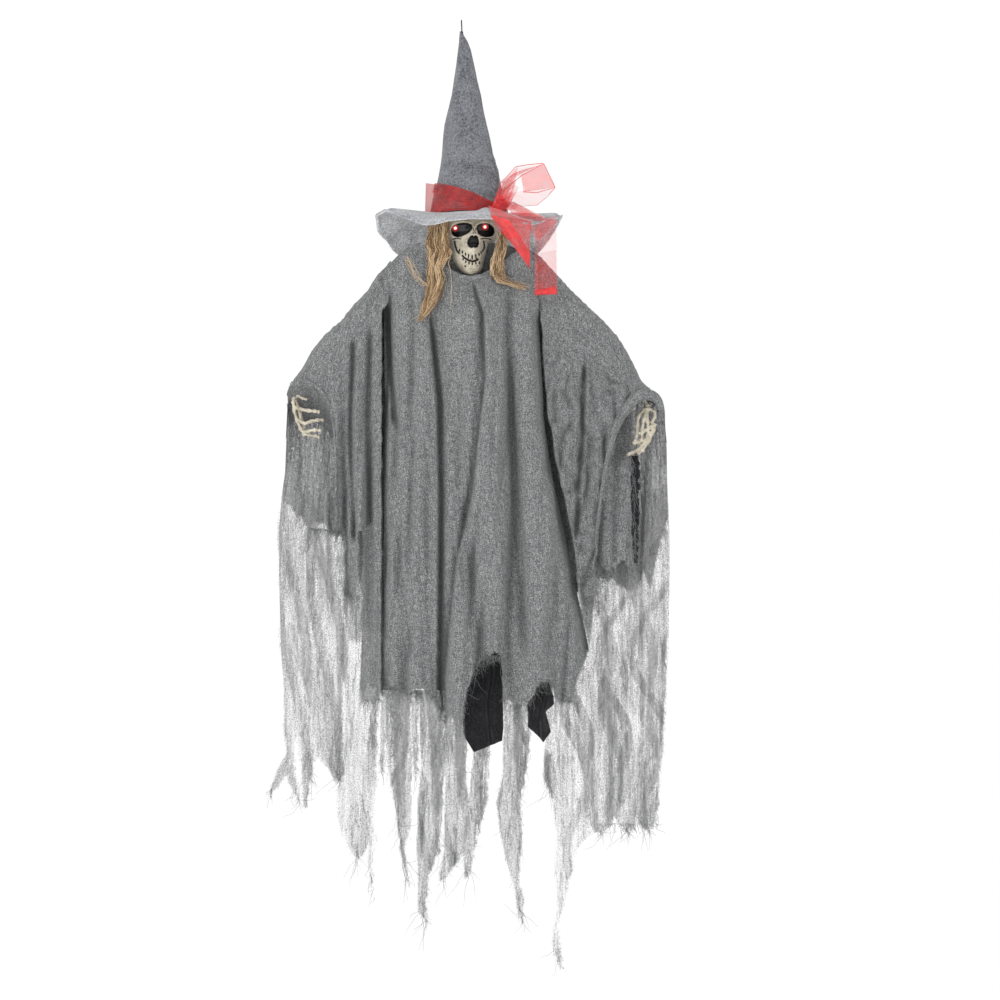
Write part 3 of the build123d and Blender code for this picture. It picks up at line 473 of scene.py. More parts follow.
PAINTS["lamp_red"] = lamp.finish((0.9, 0.1, 0.06), lamp_gloss, **lamp_light)
slot_of = {p["node"]: p["material_slot"] for p in frame["record"]["subparts"] if p.get("material_slot")}
for node, o in frame["nodes"].items():
    o.data.materials.clear()
    o.data.materials.append(PAINTS[slot_of[node]])

# ---------------------------------------------------------------- camera, floor and light
LENS = 113.7
CAMERA_AWAY = 6.0
LOOK_ASIDE, LOOK_BELOW = 0.0507, 0.0107
BRIGHTNESS = 0.99
FLOOR_RISE = 1.0
camera = bpy.data.objects.new("camera", bpy.data.cameras.new("camera"))
bpy.context.scene.collection.objects.link(camera)
bpy.context.scene.camera = camera
camera.data.sensor_width, camera.data.lens = 36, LENS
look_x = (cad_box[0].x + cad_box[1].x) / 2 + LOOK_ASIDE
look_z = (cad_box[0].z + cad_box[1].z) / 2 - LOOK_BELOW
look = Vector((look_x, 0, look_z))
camera.location = look + Vector((0, -CAMERA_AWAY, 0))
camera.rotation_euler = (math.radians(90), 0, 0)
camera.data.clip_end = 60

t = np.linspace(0, 1, 60)
sweep_y = np.interp(t, [0, 0.45, 0.6, 1], [-9, 6.8, 8, 8])
bend = np.clip((t - 0.45) / 0.15, 0, 1)
curve_z = FLOOR_RISE * (1 - np.sqrt(np.clip(1 - bend**2, 0, 1)))
sweep_z = FLOOR_Z + np.where(t < 0.6, curve_z, FLOOR_RISE + (t - 0.6) / 0.4 * 5)
sweep = np.zeros((60, 2, 3))
sweep[..., 0] = [-12, 12]
sweep[..., 1], sweep[..., 2] = sweep_y[:, None], sweep_z[:, None]
white = Nodes("paper")
tooth = white.noise(white.coords(), 80, 3, 0.6)
paper_shade, paper_rough = (white.ramp(tooth, (0.3, lo), (0.7, hi)) for lo,
    hi in ((0.02, 0.03), (0.9, 0.95)))
paper_light = dict(Specular_IOR_Level=0.0, Emission_Color=(1.0, 1.0, 1.0), Emission_Strength=BRIGHTNESS)
paper = white.finish(paper_shade, paper_rough, white.bump(tooth, 0.02, 0.0004), **paper_light)
backdrop = Net().grid(sweep, flat_lay(sweep)).piece("floor", paper, "robe_gauze")
del backdrop["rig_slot"]

world = bpy.data.worlds.new("world")
bpy.context.scene.world = world
world.use_nodes = True
world.node_tree.nodes["Background"].inputs[0].default_value = (1, 1, 1, 1)
world.node_tree.nodes["Background"].inputs[1].default_value = BRIGHTNESS


def lamp_area(name, place, aim, size, power):
    light = bpy.data.lights.new(name, "AREA")
    light.size, light.energy = size, power
    o = bpy.data.objects.new(name, light)
    o.location = place
    o.rotation_euler = (Vector(aim) - Vector(place)).to_track_quat("-Z", "Y").to_euler()
    bpy.context.scene.collection.objects.link(o)


lamp_area("key", (-2.8, -4.0, 1.0), (0, 0, -0.8), 1.8, 92)
lamp_area("fill", (2.2, -5.2, -0.5), (0, 0, -0.8), 2.4, 44)
lamp_area("front_low", (-0.6, -5.6, -1.9), (0, 0, -0.6), 2.4, 140)
lamp_area("rear", (1.5, 4.5, 1.2), (0, 0, -0.8), 2.6, 60)
scene = bpy.context.scene
scene.view_settings.view_transform = "Standard"
scene.cycles.transparent_max_bounces = 40

# ---------------------------------------------------------------- hat
# The cone's radius and its bend to the side, at each drop below the hook (all in mm).
CONE = (
    (19, 2.0, -3), (26, 5.0, -1), (40, 9.6, 2), (55, 13.3, 3), (84, 18.0, 3), (112, 22.8, 3),
    (141, 28.4, 4), (169, 33.3, 2), (198, 39.9, 0), (226, 45.6, 0), (255, 50.4, 0), (283, 56.8, 1),
    (308, 60.8, 0), (340, 66.5, -1), (368, 71.5, -2),
)
cone_lo, cone_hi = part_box("hat_cone")
HAT_BASE = cone_lo.z
base_x = NECK[0] + UP[0] * (HAT_BASE - NECK[2]) / UP[2]


def cone_centre(z):
    return NECK[0] + UP[0] * (z - NECK[2]) / UP[2] + table(-z / MM, [(c[0], c[2]) for c in CONE]) * MM


def cone_radius(z):
    return table(-z / MM, [(c[0], c[1]) for c in CONE]) * MM


PUCKER_ANGLE, SEAM_ANGLE = 0.55, 0.35
a, h = np.meshgrid(turns(180), np.linspace(0, 1, 240))
z = cone_hi.z + 0.007 + h * (HAT_BASE - 0.011 - cone_hi.z)
pucker = bell(off_by(a, PUCKER_ANGLE) / 0.42) * smooth((cone_hi.z - z - 0.18) / 0.08)
r = cone_radius(z) - 0.0010 + 0.0014 * waves(a * 0.045, z, 0.09, 3) * smooth(h * 4)
r = r + pucker * (0.0016 * np.sin(z / 0.0042 + 3 * np.sin(a * 5)) + 0.0012 * waves(a * 0.06, z, 0.012, 5))
r = r - 0.0022 * bell(off_by(a, SEAM_ANGLE) / 0.03) * smooth(h * 8)
cone = ring_points(cone_centre(z), r, a, z)
inner_r = np.maximum(r - 0.0022, 0.0006)
inner = ring_points(cone_centre(z), inner_r, a, z)
skin = np.concatenate([cone, inner[::-1]])
net = Net().grid(skin, flat_lay(skin), closed=True, ring=True)
hat_cone = net.piece("hat_cone_felt", HAT, "hat_felt", "head")
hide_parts("hat_cone")

# The brim's reach, its fall and the rise of its crest (mm), at each angle from the figure's left;
# 90 degrees is the front.
BRIM_EDGE = (
    (0, 177, -4, 1), (8, 176, 0, 1), (22, 166, 10, 2), (40, 157, 17, 2), (56, 151, 19, 2),
    (72, 147, 17, 2), (90, 144, 16, 2), (108, 148, 18, 2), (125, 153, 18, 1), (147, 164, 2, 1),
    (158, 172, -6, 1), (168, 176, -2, 2), (180, 177, 7, 3), (190, 176, 22, 4), (200, 172, 38, 5),
    (212, 169, 58, 5), (225, 165, 78, 4), (240, 160, 94, 3), (270, 150, 106, 2), (300, 158, 96, 3),
    (318, 163, 72, 3), (334, 168, 38, 3), (345, 173, 14, 2), (354, 177, -2, 1), (360, 177, -4, 1),
)
a, t = np.meshgrid(turns(300), np.linspace(0, 1, 80))
deg = np.degrees(a)
reach, fall, rise = (table(deg, [(e[0], e[k]) for e in BRIM_EDGE]) * MM for k in (1, 2, 3))
brim_x = base_x - 0.002
r = cone_radius(HAT_BASE) - 0.003 + t * (reach - cone_radius(HAT_BASE) + 0.003)
r = r + 0.002 * t * waves(np.cos(a) * 0.1, np.sin(a) * 0.1, 0.05, 8)
front = smooth((math.pi / 2 - abs(a - math.pi / 2)) / 0.9)
z = HAT_BASE + rise * np.sin(math.pi * np.clip(t * 1.15, 0, 1)) - fall * t ** (1.25 + 0.5 * (1 - front))
z = (
    z + t * 0.0035 * np.sin(a * 5 + 0.7) * (0.4 + 0.6 * front)
    + 0.002 * t * waves(np.cos(a) * 0.15, np.sin(a) * 0.15, 0.07, 9)
)
z = z - 0.006 * bell((t - 0.97) / 0.05)
peak = bell((deg - 70) / 7.0) * bell((t - 0.45) / 0.4)
z = z + 0.008 * peak
brim = ring_points(brim_x, r, a, z)


def on_brim(angle, share, lift=4.0):
    """A point lift mm above the brim, at an angle in degrees and a share of the way to its rim."""
    i, j = int(round(share * (brim.shape[0] - 1))), int(round(angle / 360 * brim.shape[1])) % brim.shape[1]
    return brim[i, j] + np.array([0, -0.3, 1.0]) * lift * MM


under = brim - np.array([0, 0, 0.0026])
rim = (brim[-1:] + under[-1:]) / 2 + 0.0008 * np.stack([np.cos(a[:1]), -np.sin(a[:1]), 0 * a[:1]], -1)
skin = np.concatenate([brim, rim, under[::-1]])
lay = flat_lay(skin, 1.4)
# the underside rows take the lighter, painted-light copy of the felt
lay[len(brim) + 2:, :, 2] = 1.0
net = Net().grid(skin, lay, closed=True, ring=True)
hat_brim = net.piece("hat_brim_felt", [BRIM, BRIM_UNDERSIDE_PAINTED_LIGHT], "hat_felt", "head")
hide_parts("hat_brim")

# ---------------------------------------------------------------- ribbon
KNOT = np.array([base_x + 0.0615, -0.052, HAT_BASE + 0.024])
knot_angle = math.atan2(-KNOT[1], KNOT[0] - base_x)


def wrap(low, high, proud, seed, rows=40, columns=260):
    """A band round the cone; low and high give its edges in mm above the cone's foot, by angle in degrees."""
    a, t = np.meshgrid(np.linspace(0, 2 * math.pi, columns), np.linspace(0, 1, rows))
    lo, hi = (table(np.mod(np.degrees(a), 360), edge) * MM for edge in (low, high))
    z = HAT_BASE + lo + t * (hi - lo)
    near = bell(off_by(a, knot_angle) / 0.5)
    fold = np.sin(t * 26 + 2.5 * waves(a * 0.07, t * 0.03, 0.05, seed)) * (0.0007 + 0.0022 * near)
    fold = fold + 0.0016 * bell((t - 0.03) / 0.05)
    r = cone_radius(z) + proud * MM + abs(fold) + 0.0008 * waves(a * 0.07, z, 0.03, seed + 1)
    return ring_points(cone_centre(z), r, a, z)


def patch(corners, bulge=(0, 0, 0), rows=26, columns=26, seed=1, crumple=0.0012, gather=0.0):
    """A piece of ribbon between four corners (mm from the knot, across/behind/above), bowed by bulge."""
    c = [from_knot(*p) for p in corners]
    v, u = np.meshgrid(np.linspace(0, 1, columns), np.linspace(0, 1, rows))
    p = sum(w[..., None] * q for w, q in zip(((1 - u) * (1 - v), (1 - u) * v, u * v, u * (1 - v)), c))
    bow = np.sin(math.pi * u) * np.sin(math.pi * v)
    p = p + bow[..., None] * np.array(bulge) * MM
    p[..., 1] += crumple * waves(p[..., 0], p[..., 2], 0.035, seed) + gather * (1 - u) ** 2 * np.sin(v * 34
        + seed)
    return p


def from_knot(across, behind, above):
    return KNOT + np.array([across, behind, above]) * MM


def edge_roll(points, radius):
    """The thick thread of a ribbon's rolled edge."""
    line = along_path(points, np.linspace(0, len(points) - 1, len(points) * 8))
    return line[None], radius, np.array([0.5])


LOW = ((0, -1), (40, 0), (70, 1), (100, 2), (140, 0), (180, -1), (270, 0), (360, -1))
HIGH = (
    (0, 30), (20, 24), (40, 16), (60, 24), (85, 38), (115, 49), (150, 57), (180, 60), (215, 58),
    (270, 50), (320, 40), (360, 30),
)
INNER_LOW = ((0, -1), (50, 0), (100, 17), (150, 38), (180, 44), (270, 30), (360, -1))
ROLLED_HIGH = tuple((d, 5 + 5 * math.exp(-(((d - 40) / 40) ** 2))) for d in range(0, 361, 15))
WRAPS = ((LOW, HIGH, 1.4, 21, 1.0), (INNER_LOW, HIGH, 3.0, 22, 0.62), (LOW, ROLLED_HIGH, 3.4, 23, 1.5))
net = Net()
for *how, density in WRAPS:
    points = wrap(*how)
    net.grid(points, flat_lay(points, density))
points = patch(((-146, 26, -26), (-144, 18, 33), (-122, 14, 29), (-126, 22, -26)), (-2, -4, 0), seed=4)
net.grid(points, flat_lay(points, 0.95))
band = net.piece("ribbon_wrap", ORGANZA_BAND, "ribbon_organza", "head")
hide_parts("ribbon_band")

net = Net()
# The knot's small folds, which fan from the band up into the loop: foot, head, half width, density.
KNOT_FOLDS = (
    ((-16, -10, -20), (2, 0, 30), 9, 0.8), ((-10, -12, -20), (10, 2, 38), 8, 0.6),
    ((-4, -14, -18), (18, 2, 44), 8, 0.8), ((2, -14, -18), (26, 0, 44), 9, 0.6),
    ((6, -13, -16), (32, -2, 30), 8, 0.7), ((-26, -6, -22), (22, -10, -4), 8, 0.9),
    ((-22, -10, -16), (30, -8, -10), 7, 0.7), ((-14, -13, -22), (34, -9, -14), 8, 0.8),
    ((-8, -16, -6), (22, -10, 14), 8, 0.6),
)
for i, (foot, head, wide, density) in enumerate(KNOT_FOLDS):
    f, h = np.array(foot, float), np.array(head, float)
    aside = wide * unit(np.cross(h - f, [0, 1, 0]))
    corners = (f - 0.6 * aside, f + 0.6 * aside, h * 0.86 + aside * 0.7, h * 0.86 - aside * 0.7)
    p = patch(corners, (0, -5, 0), 22, 14, 200 + i, 0.002, 0.003)
    net.grid(p, flat_lay(p, density * np.linspace(1.9, 0.5, 22)[:, None] + 0 * p[..., 0]))
# Each panel of the loop: its corners, bulge, density and gather.
LOOP = (
    (((2, -10, 8), (-2, 0, 30), (30, 2, 62), (22, -4, 22)), (0, -8, 4), 0.75, 0.004),
    (((2, -4, 26), (0, 2, 34), (78, 4, 68), (40, -2, 50)), (-4, -6, 6), 0.55, 0.002),
    (((36, -2, 46), (78, 4, 68), (100, -8, 22), (40, -4, 14)), (3, -9, 0), 0.62, 0.0),
    (((28, 8, 60), (76, 10, 68), (99, -6, 22), (44, 8, 16)), (4, 8, 0), 0.26, 0.0),
    (((16, -6, 12), (40, -8, 16), (100, -8, 22), (66, -8, -10)), (2, -6, -3), 0.30, 0.001),
    (((6, -8, 2), (14, -8, 14), (66, -8, -10), (32, -6, -12)), (0, -4, -3), 0.34, 0.003),
)
for i, (corners, bulge, density, gather) in enumerate(LOOP):
    p = patch(corners, bulge, seed=40 + i, gather=gather)
    net.grid(p, flat_lay(p, density))
LOOP_EDGES = (
    (
        (2, -8, 10), (-4, -2, 30), (10, 0, 44), (26, 2, 62), (50, 4, 66), (78, 4, 69), (100, -8, 22),
        (84, -9, 4), (66, -8, -11), (40, -8, -13), (26, -7, -12),
    ),
    ((2, -6, 16), (38, -2, 46), (78, 4, 68)),
    ((40, -4, 14), (66, -12, 12), (100, -8, 22)),
)
for line in LOOP_EDGES:
    net.tubes(*edge_roll([from_knot(*q) for q in line], 0.0009), sides=5)
bow = net.piece("ribbon_loop", ORGANZA, "ribbon_organza", "head")
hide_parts("ribbon_bow")


def spread(a, b, c, d, bulge=(0, 0, 0), seed=1, gather=0.0):
    """A patch between four points given in metres."""
    return patch([(np.array(p) - KNOT) / MM for p in (a, b, c, d)], bulge, 30, 30, seed, 0.0014, gather)


def shifted(point, *by):
    """The point moved by so many mm."""
    return point + np.array(by) * MM


rim_a, rim_b, rim_c, rim_d = on_brim(73, 1.0), on_brim(42, 1.0), on_brim(27, 0.98), on_brim(14, 0.97)
low_tip = from_knot(51, -84, -136)
fall_b = shifted(rim_b, -4, -4, -34)
TAIL_PANELS = (
    ((on_brim(68, 0.42), on_brim(52, 0.36), rim_b, rim_a), (0, -2, 3), 0.95, 0.002),
    ((rim_a, rim_b, fall_b, shifted(rim_a, 30, -8, -46)), (0, -6, 0), 0.80, 0.0),
    ((rim_a, shifted(rim_a, 34, -4, -10), shifted(low_tip, 1, 0, 30), low_tip), (-2, -6, 0), 1.1, 0.0),
    ((shifted(rim_a, 34, -6, -20), fall_b, shifted(low_tip, 0, 0, 50), low_tip), (0, -8, 0), 0.75, 0.0),
    ((from_knot(6, -12, -6), from_knot(22, -8, -6), shifted(rim_c, 0, 0, 2), on_brim(52, 0.75)),
        (0, -4, 5), 0.85, 0.004),
    ((on_brim(48, 0.8, 6), rim_c, shifted(rim_d, 6, 0, -10), shifted(rim_c, -12, -6, -44)), (0, -8, 0),
        0.62, 0.002),
    ((from_knot(14, -12, -16), from_knot(26, -8, -8), rim_c, on_brim(44, 0.9, 7)), (0, -6, 6), 0.7, 0.003),
)
net = Net()
for i, (corners, bulge, density, gather) in enumerate(TAIL_PANELS):
    p = spread(*corners, bulge, 60 + i, gather)
    net.grid(p, flat_lay(p, density))
# The long tail that hangs past the brim: two thin layers and a hem.
hang = (rim_c[1] - KNOT[1]) / MM - 4
for top, low, density in ((-40, -182, 0.30), (-104, -182, 0.28), (-172, -182, 1.3)):
    corners = (62, hang, top), (102, hang + 10, top + 8), (103, hang + 6, low + 3), (61, hang, low)
    p = spread(*[from_knot(*c) for c in corners], (1, -4, 0), 90 - top)
    net.grid(p, flat_lay(p, density))
long_edge = [rim_a, shifted(rim_a, 12, -8, -26), shifted(low_tip, -18, 0, 36), low_tip]
net.tubes(*edge_roll(long_edge, 0.0008), sides=5)
short_edge = [low_tip, shifted(low_tip, -3, 0, 50), fall_b, rim_b]
net.tubes(*edge_roll(short_edge, 0.0006), sides=5)
tails = net.piece("ribbon_ends", ORGANZA, "ribbon_organza")
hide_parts("ribbon_tails")
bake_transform(tails)

# ---------------------------------------------------------------- skull
# Half outline by drop below the hook: left and right edge, how far it comes forward and reaches back (mm).
FACE = (
    (339.5, 17, 19, 2, 2), (341, 6, 31, 14, 14), (346, -10, 47, 28, 27), (354, -20, 57, 38, 36),
    (366, -28, 64, 44, 43), (380, -31, 67.5, 47.5, 48), (391, -31, 67.5, 50, 49.5),
    (401, -31, 67, 50, 50), (412, -31, 67.5, 50.5, 49.5), (418, -26, 64, 51, 46),
    (423.5, -19.5, 51, 52, 36), (430, -18, 48.5, 53.5, 24), (440, -17.3, 46.6, 56, 16),
    (450, -16.6, 44.4, 57.5, 12), (456, -15.4, 42.5, 57, 9), (464, -10.5, 41, 55.5, 5),
    (471, -5, 39.5, 55, 0), (477, 0, 36, 54, -6), (481.8, 6, 30.5, 51, -14), (484, 12, 25, 47, -22),
    (484.8, 17.5, 20, 42, -34),
)
SOCKETS = (
    (
        (-18.8, 398.2), (-15, 392.6), (-8, 389.4), (3, 387.6), (13, 388.3), (19.5, 391.5), (20.5, 397.5),
        (15, 404.5), (8.6, 408.6), (0, 412.3), (-6.1, 414), (-12.5, 412.3), (-17.5, 407),
    ),
    (
        (29, 397.5), (31, 392.5), (37, 389.3), (47, 387.6), (54.5, 389.5), (60.5, 394.5), (62.5, 402),
        (60, 409), (54.5, 412.4), (47, 413.6), (39.5, 412.2), (32.5, 407),
    ),
)
NOSE = (
    (15, 417.5), (17.5, 413), (21, 411.6), (24, 414), (27, 411.6), (30.5, 413.5), (32.5, 420),
    (33.4, 426.5), (31, 432.5), (26.5, 434.8), (24, 432.5), (20, 435), (15, 432.5), (12, 427), (13, 421),
)
LINES = (
    (((-12.6, 422), (-11, 431), (-8.2, 439), (-4.2, 444.5)), 2.2, 2.8),
    (((42.6, 422), (43.6, 430), (42.2, 436), (40.2, 440)), 1.9, 2.6),
    (((-16, 417.6), (-8, 416.6), (-1, 418)), 1.2, 1.6),
    (((37, 418), (47, 416.4), (56, 418)), 1.2, 1.6),
    (((2.5, 450), (6.5, 454), (13, 458.3), (21.5, 460.6), (27, 459.4), (31.5, 456)), 2.3, 3.8),
    (((22.4, 398), (24.6, 403), (23.2, 408)), 0.7, 0.9),
    (((27.8, 398), (26.2, 403), (27.6, 408)), 0.6, 0.8),
    (((-30, 389), (-27, 396), (-28, 406)), 1.6, 2.0),
)
DOTS = (
    (-3, 438.9, 1.5), (2.3, 443, 1.5), (8.4, 447.3, 1.5), (14.2, 449.6, 1.5), (21, 451.6, 1.6),
    (27.7, 449.9, 1.5), (33.8, 447, 1.5), (37.6, 443, 1.4), (3.6, 456.9, 1.3), (8.9, 461.5, 1.3),
    (15, 464, 1.4), (21.2, 465.3, 1.4), (28, 463.6, 1.4), (34.4, 462.4, 1.3), (7.8, 469.5, 1.7),
    (30.5, 468.5, 1.0), (21, 455.4, 1.2), (13.6, 453.6, 1.1), (28.4, 453.8, 1.1),
)
TEETH = (
    (-0.4, 443), (5.3, 447.4), (11.2, 450.6), (17.6, 452.9), (24.4, 453), (30.8, 450.6), (35.8, 446.8),
    (6.2, 459.6), (12, 463), (18, 465.2), (24.6, 465), (31.2, 463),
)


def outside(x, y, polygon):
    """Signed distance to a polygon, in its own units; negative inside."""
    p = np.array(polygon, float)
    inside = np.zeros(x.shape, bool)
    for (ax, ay), (bx, by) in zip(p, np.roll(p, -1, axis=0)):
        inside ^= ((ay > y) != (by > y)) & (x < (bx - ax) * (y - ay) / (by - ay + 1e-12) + ax)
    best = from_line(x, y, [*p, p[0]])
    return np.where(inside, -best, best)


def from_line(x, y, line):
    best = np.full(x.shape, 1e9)
    for (ax, ay), (bx, by) in zip(line, line[1:]):
        dx, dy = bx - ax, by - ay
        t = np.clip(((x - ax) * dx + (y - ay) * dy) / (dx * dx + dy * dy), 0, 1)
        best = np.minimum(best, np.hypot(x - ax - t * dx, y - ay - t * dy))
    return best


rows = np.concatenate([np.linspace(339.5, 380, 30, endpoint=False),
        np.linspace(380, 472, 190, endpoint=False), np.linspace(472, 484.8, 26)])
turn = np.concatenate([np.linspace(0, math.pi, 250, endpoint=False),
        np.linspace(math.pi, 2 * math.pi, 90, endpoint=False)])
a, drop = np.meshgrid(turn, rows)
left, right, ahead, behind = (table(drop, [(f[0], f[k]) for f in FACE]) for k in (1, 2, 3, 4))
is_front = np.sin(a) > 0
cosine, sine = np.cos(a), np.sin(a)
x = (left + right) / 2 + (right - left) / 2 * np.sign(cosine) * np.abs(cosine) ** 0.93
back_depth = np.where(behind > 0, behind, 0)
y = np.where(is_front, -ahead * np.abs(sine) ** 0.80, back_depth * np.abs(sine) ** 0.85)
under_jaw = np.where(is_front, behind - (ahead + behind) * np.abs(sine) ** 0.8, behind)
y = np.where(behind < 0, under_jaw, y)
paint_and_shade = np.zeros(x.shape)
facing = smooth((np.abs(sine) - 0.12) / 0.2) * is_front
inset = np.zeros(x.shape)
for polygon in SOCKETS:
    d = outside(x, drop, polygon)
    inset += 21.0 * smooth(0.5 - d / 3.0) * facing
    inset -= 2.6 * bell((d - 3.2) / 2.6) * facing
    paint_and_shade = np.maximum(paint_and_shade, smooth(0.75 - d / 1.7) * facing)
d = outside(x, drop, NOSE)
inset += 11.0 * smooth(0.5 - d / 2.6) * facing - 1.6 * bell((d - 2.4) / 2.2) * facing
paint_and_shade = np.maximum(paint_and_shade, smooth(0.75 - d / 1.5) * facing)
for line, width, depth in LINES:
    d = from_line(x, drop, line)
    inset += depth * bell(d / (width * 1.3)) * facing
    paint_and_shade = np.maximum(paint_and_shade, smooth(1.25 - d / width) * facing)
for px, pz, size in DOTS:
    d = np.hypot(x - px, (drop - pz) * (0.5 if pz < 467 else 1))
    inset += 1.6 * bell(d / (size * 1.2)) * facing
    paint_and_shade = np.maximum(paint_and_shade, smooth(1.5 - d / size) * facing)
for px, pz in TEETH:
    inset -= 1.5 * bell(np.hypot(x - px, (drop - pz) * 0.75) / 3.2) * facing
# Nose bridge, cheekbones, hollow cheeks, lip and chin: depth, then place and spread across and down.
for depth, across, wide, low, high in (
    (-2.8, x - 24.8, 4.5, 404, 12.0),
    (-3.4, np.abs(x - 18.5) - 33, 9, 414.5, 3.6),
    (5.0, np.abs(x - 18.8) - 24, 6.5, 433, 9.0),
    (1.8, x - 19, 13, 470.5, 4.5),
    (-2.6, x - 19, 11, 479, 4.5),
):
    inset += depth * np.exp(-((across / wide) ** 2) - ((drop - low) / high) ** 2) * facing
inset += 0.35 * waves(x, drop, 9.0, 71)
y = y + np.where(is_front, inset, 0)
# painted shade: recesses deeper than 3 mm, such as the hollow cheeks, darken with their depth
paint_and_shade = np.maximum(paint_and_shade, 0.75 * smooth((inset - 3.0) / 6.0) * facing)
p = np.stack([x * MM, y * MM, -drop * MM], -1)
lay = np.zeros(p.shape)
lay[..., 0], lay[..., 1], lay[..., 2] = x * MM, drop * MM, paint_and_shade
skull = Net().grid(p, lay, closed=True).piece("skull_mask", BONE, "bone_plastic", "head")
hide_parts("skull_face", "skull_rear")

# painted light: a glowing red ring on the socket round each lamp, for the red light the lamp throws there
glow = Nodes("painted_lamp_halo")
near = glow.lay_value(2)
speckle = glow.times(near, glow.ramp(glow.noise(glow.coords(), 500, 2), (0.3, 0.8), (0.7, 1.0)))
GLOW_STOPS = ((0.0, 0.0), (0.4, (0.28, 0.004, 0.004)), (0.85, (0.9, 0.02, 0.02)), (1.0, (1.0, 0.12, 0.10)))
glow_light = dict(Emission_Color=glow.ramp(speckle, *GLOW_STOPS), Emission_Strength=0.9)
PAINTED_HALO = glow.finish((0.02, 0.003, 0.003), 0.4, **glow_light)
lamps = np.array([v.co for v in frame["nodes"]["eye_leds"].data.vertices])
net = Net()
for side in (lamps[lamps[:, 0] < NECK[0]], lamps[lamps[:, 0] > NECK[0]]):
    c = (side.min(0) + side.max(0)) / 2
    a, t = np.meshgrid(turns(48), np.linspace(0, 1, 14))
    rr = 0.0024 + t * 0.0050
    p = np.stack([c[0] + rr * np.cos(a), side[:, 1].min() + 0.0042 - 0.0012 * t**2 + 0 * a, c[2]
            + rr * np.sin(a)], -1)
    lay = np.zeros(p.shape)
    lay[..., 2] = (1 - t) ** 1.3
    net.grid(p, lay, closed=True)
net.piece("painted_lamp_halos", PAINTED_HALO, "lamp_red", "head")

# ---------------------------------------------------------------- hands: bones as lines, fused into one mesh
# Each bone's points are across, depth and height (mm) from the wrist's outer end, then its girth.
HAND_BONES = {
    "left": (
        (((7, 0, 10), (-5, -2, -2), (-3, -8, -18)), 4.2),
        (
            ((-6, -6, -4), (-4, -10, -24), (-2, -11, -40), (3, -10, -58), (10, -8, -74), (18, -6, -86)),
            2.6,
        ),
        (((-2, -2, -10), (4, -6, -34), (10, -5, -54), (18, -4, -74)), 2.3),
        (((0, 4, -12), (8, 2, -40), (14, 2, -62)), 2.0),
        (((-5, -8, -8), (4, -15, -11), (14, -18, -16), (23, -17, -19)), 2.3),
        (((-1, -10, -34), (9, -18, -37), (26, -23, -40), (39, -22, -41), (46, -20, -42.5)), 2.8),
        (((3, -10, -56), (18, -18, -65), (31, -23, -60), (43, -22, -58), (54, -19, -57)), 2.7),
        (((13, -8, -80), (24, -16, -79), (37, -19, -76), (50, -17, -78)), 2.7),
        (((16, -6, -84), (27, -12, -86), (38, -14, -88), (46, -12, -90)), 2.4),
    ),
    "right": (
        (((-4, 0, 14), (2, -2, 0), (0, -8, -8)), 4.4),
        (((-3, -6, -4), (-17, -12, -19), (-19, -14, -38), (-20, -12, -60)), 2.6),
        (((-2, -8, -6), (-7, -14, -26), (-10, -16, -48)), 2.5),
        (((0, -8, -8), (0, -15, -30), (3, -16, -46)), 2.5),
        (((2, -8, -4), (14, -10, -10), (16, -10, -20), (6, -13, -34)), 2.5),
        (((-16, -15, -52), (-7, -18, -48), (10, -15, -38), (14, -11, -34)), 2.5),
        (((14, -11, -34), (12, -14, -44), (2, -18, -66), (-11, -18, -85), (-19, -15, -89)), 3.0),
        (((-10, -16, -48), (-11, -22, -66), (-18, -21, -70)), 2.4),
        (((-20, -12, -58), (-23, -18, -66), (-27, -19, -70), (-12, -20, -71)), 2.4),
        (((3, -16, -46), (-4, -22, -68), (-18, -22, -84), (-38, -18, -92)), 2.6),
        (((-19, -15, -84), (-28, -16, -90), (-40, -15, -93)), 2.0),
    ),
}
HAND_VOXEL = 0.0009
WRIST_END = {"left": (-315, -701), "right": (352.5, -732)}
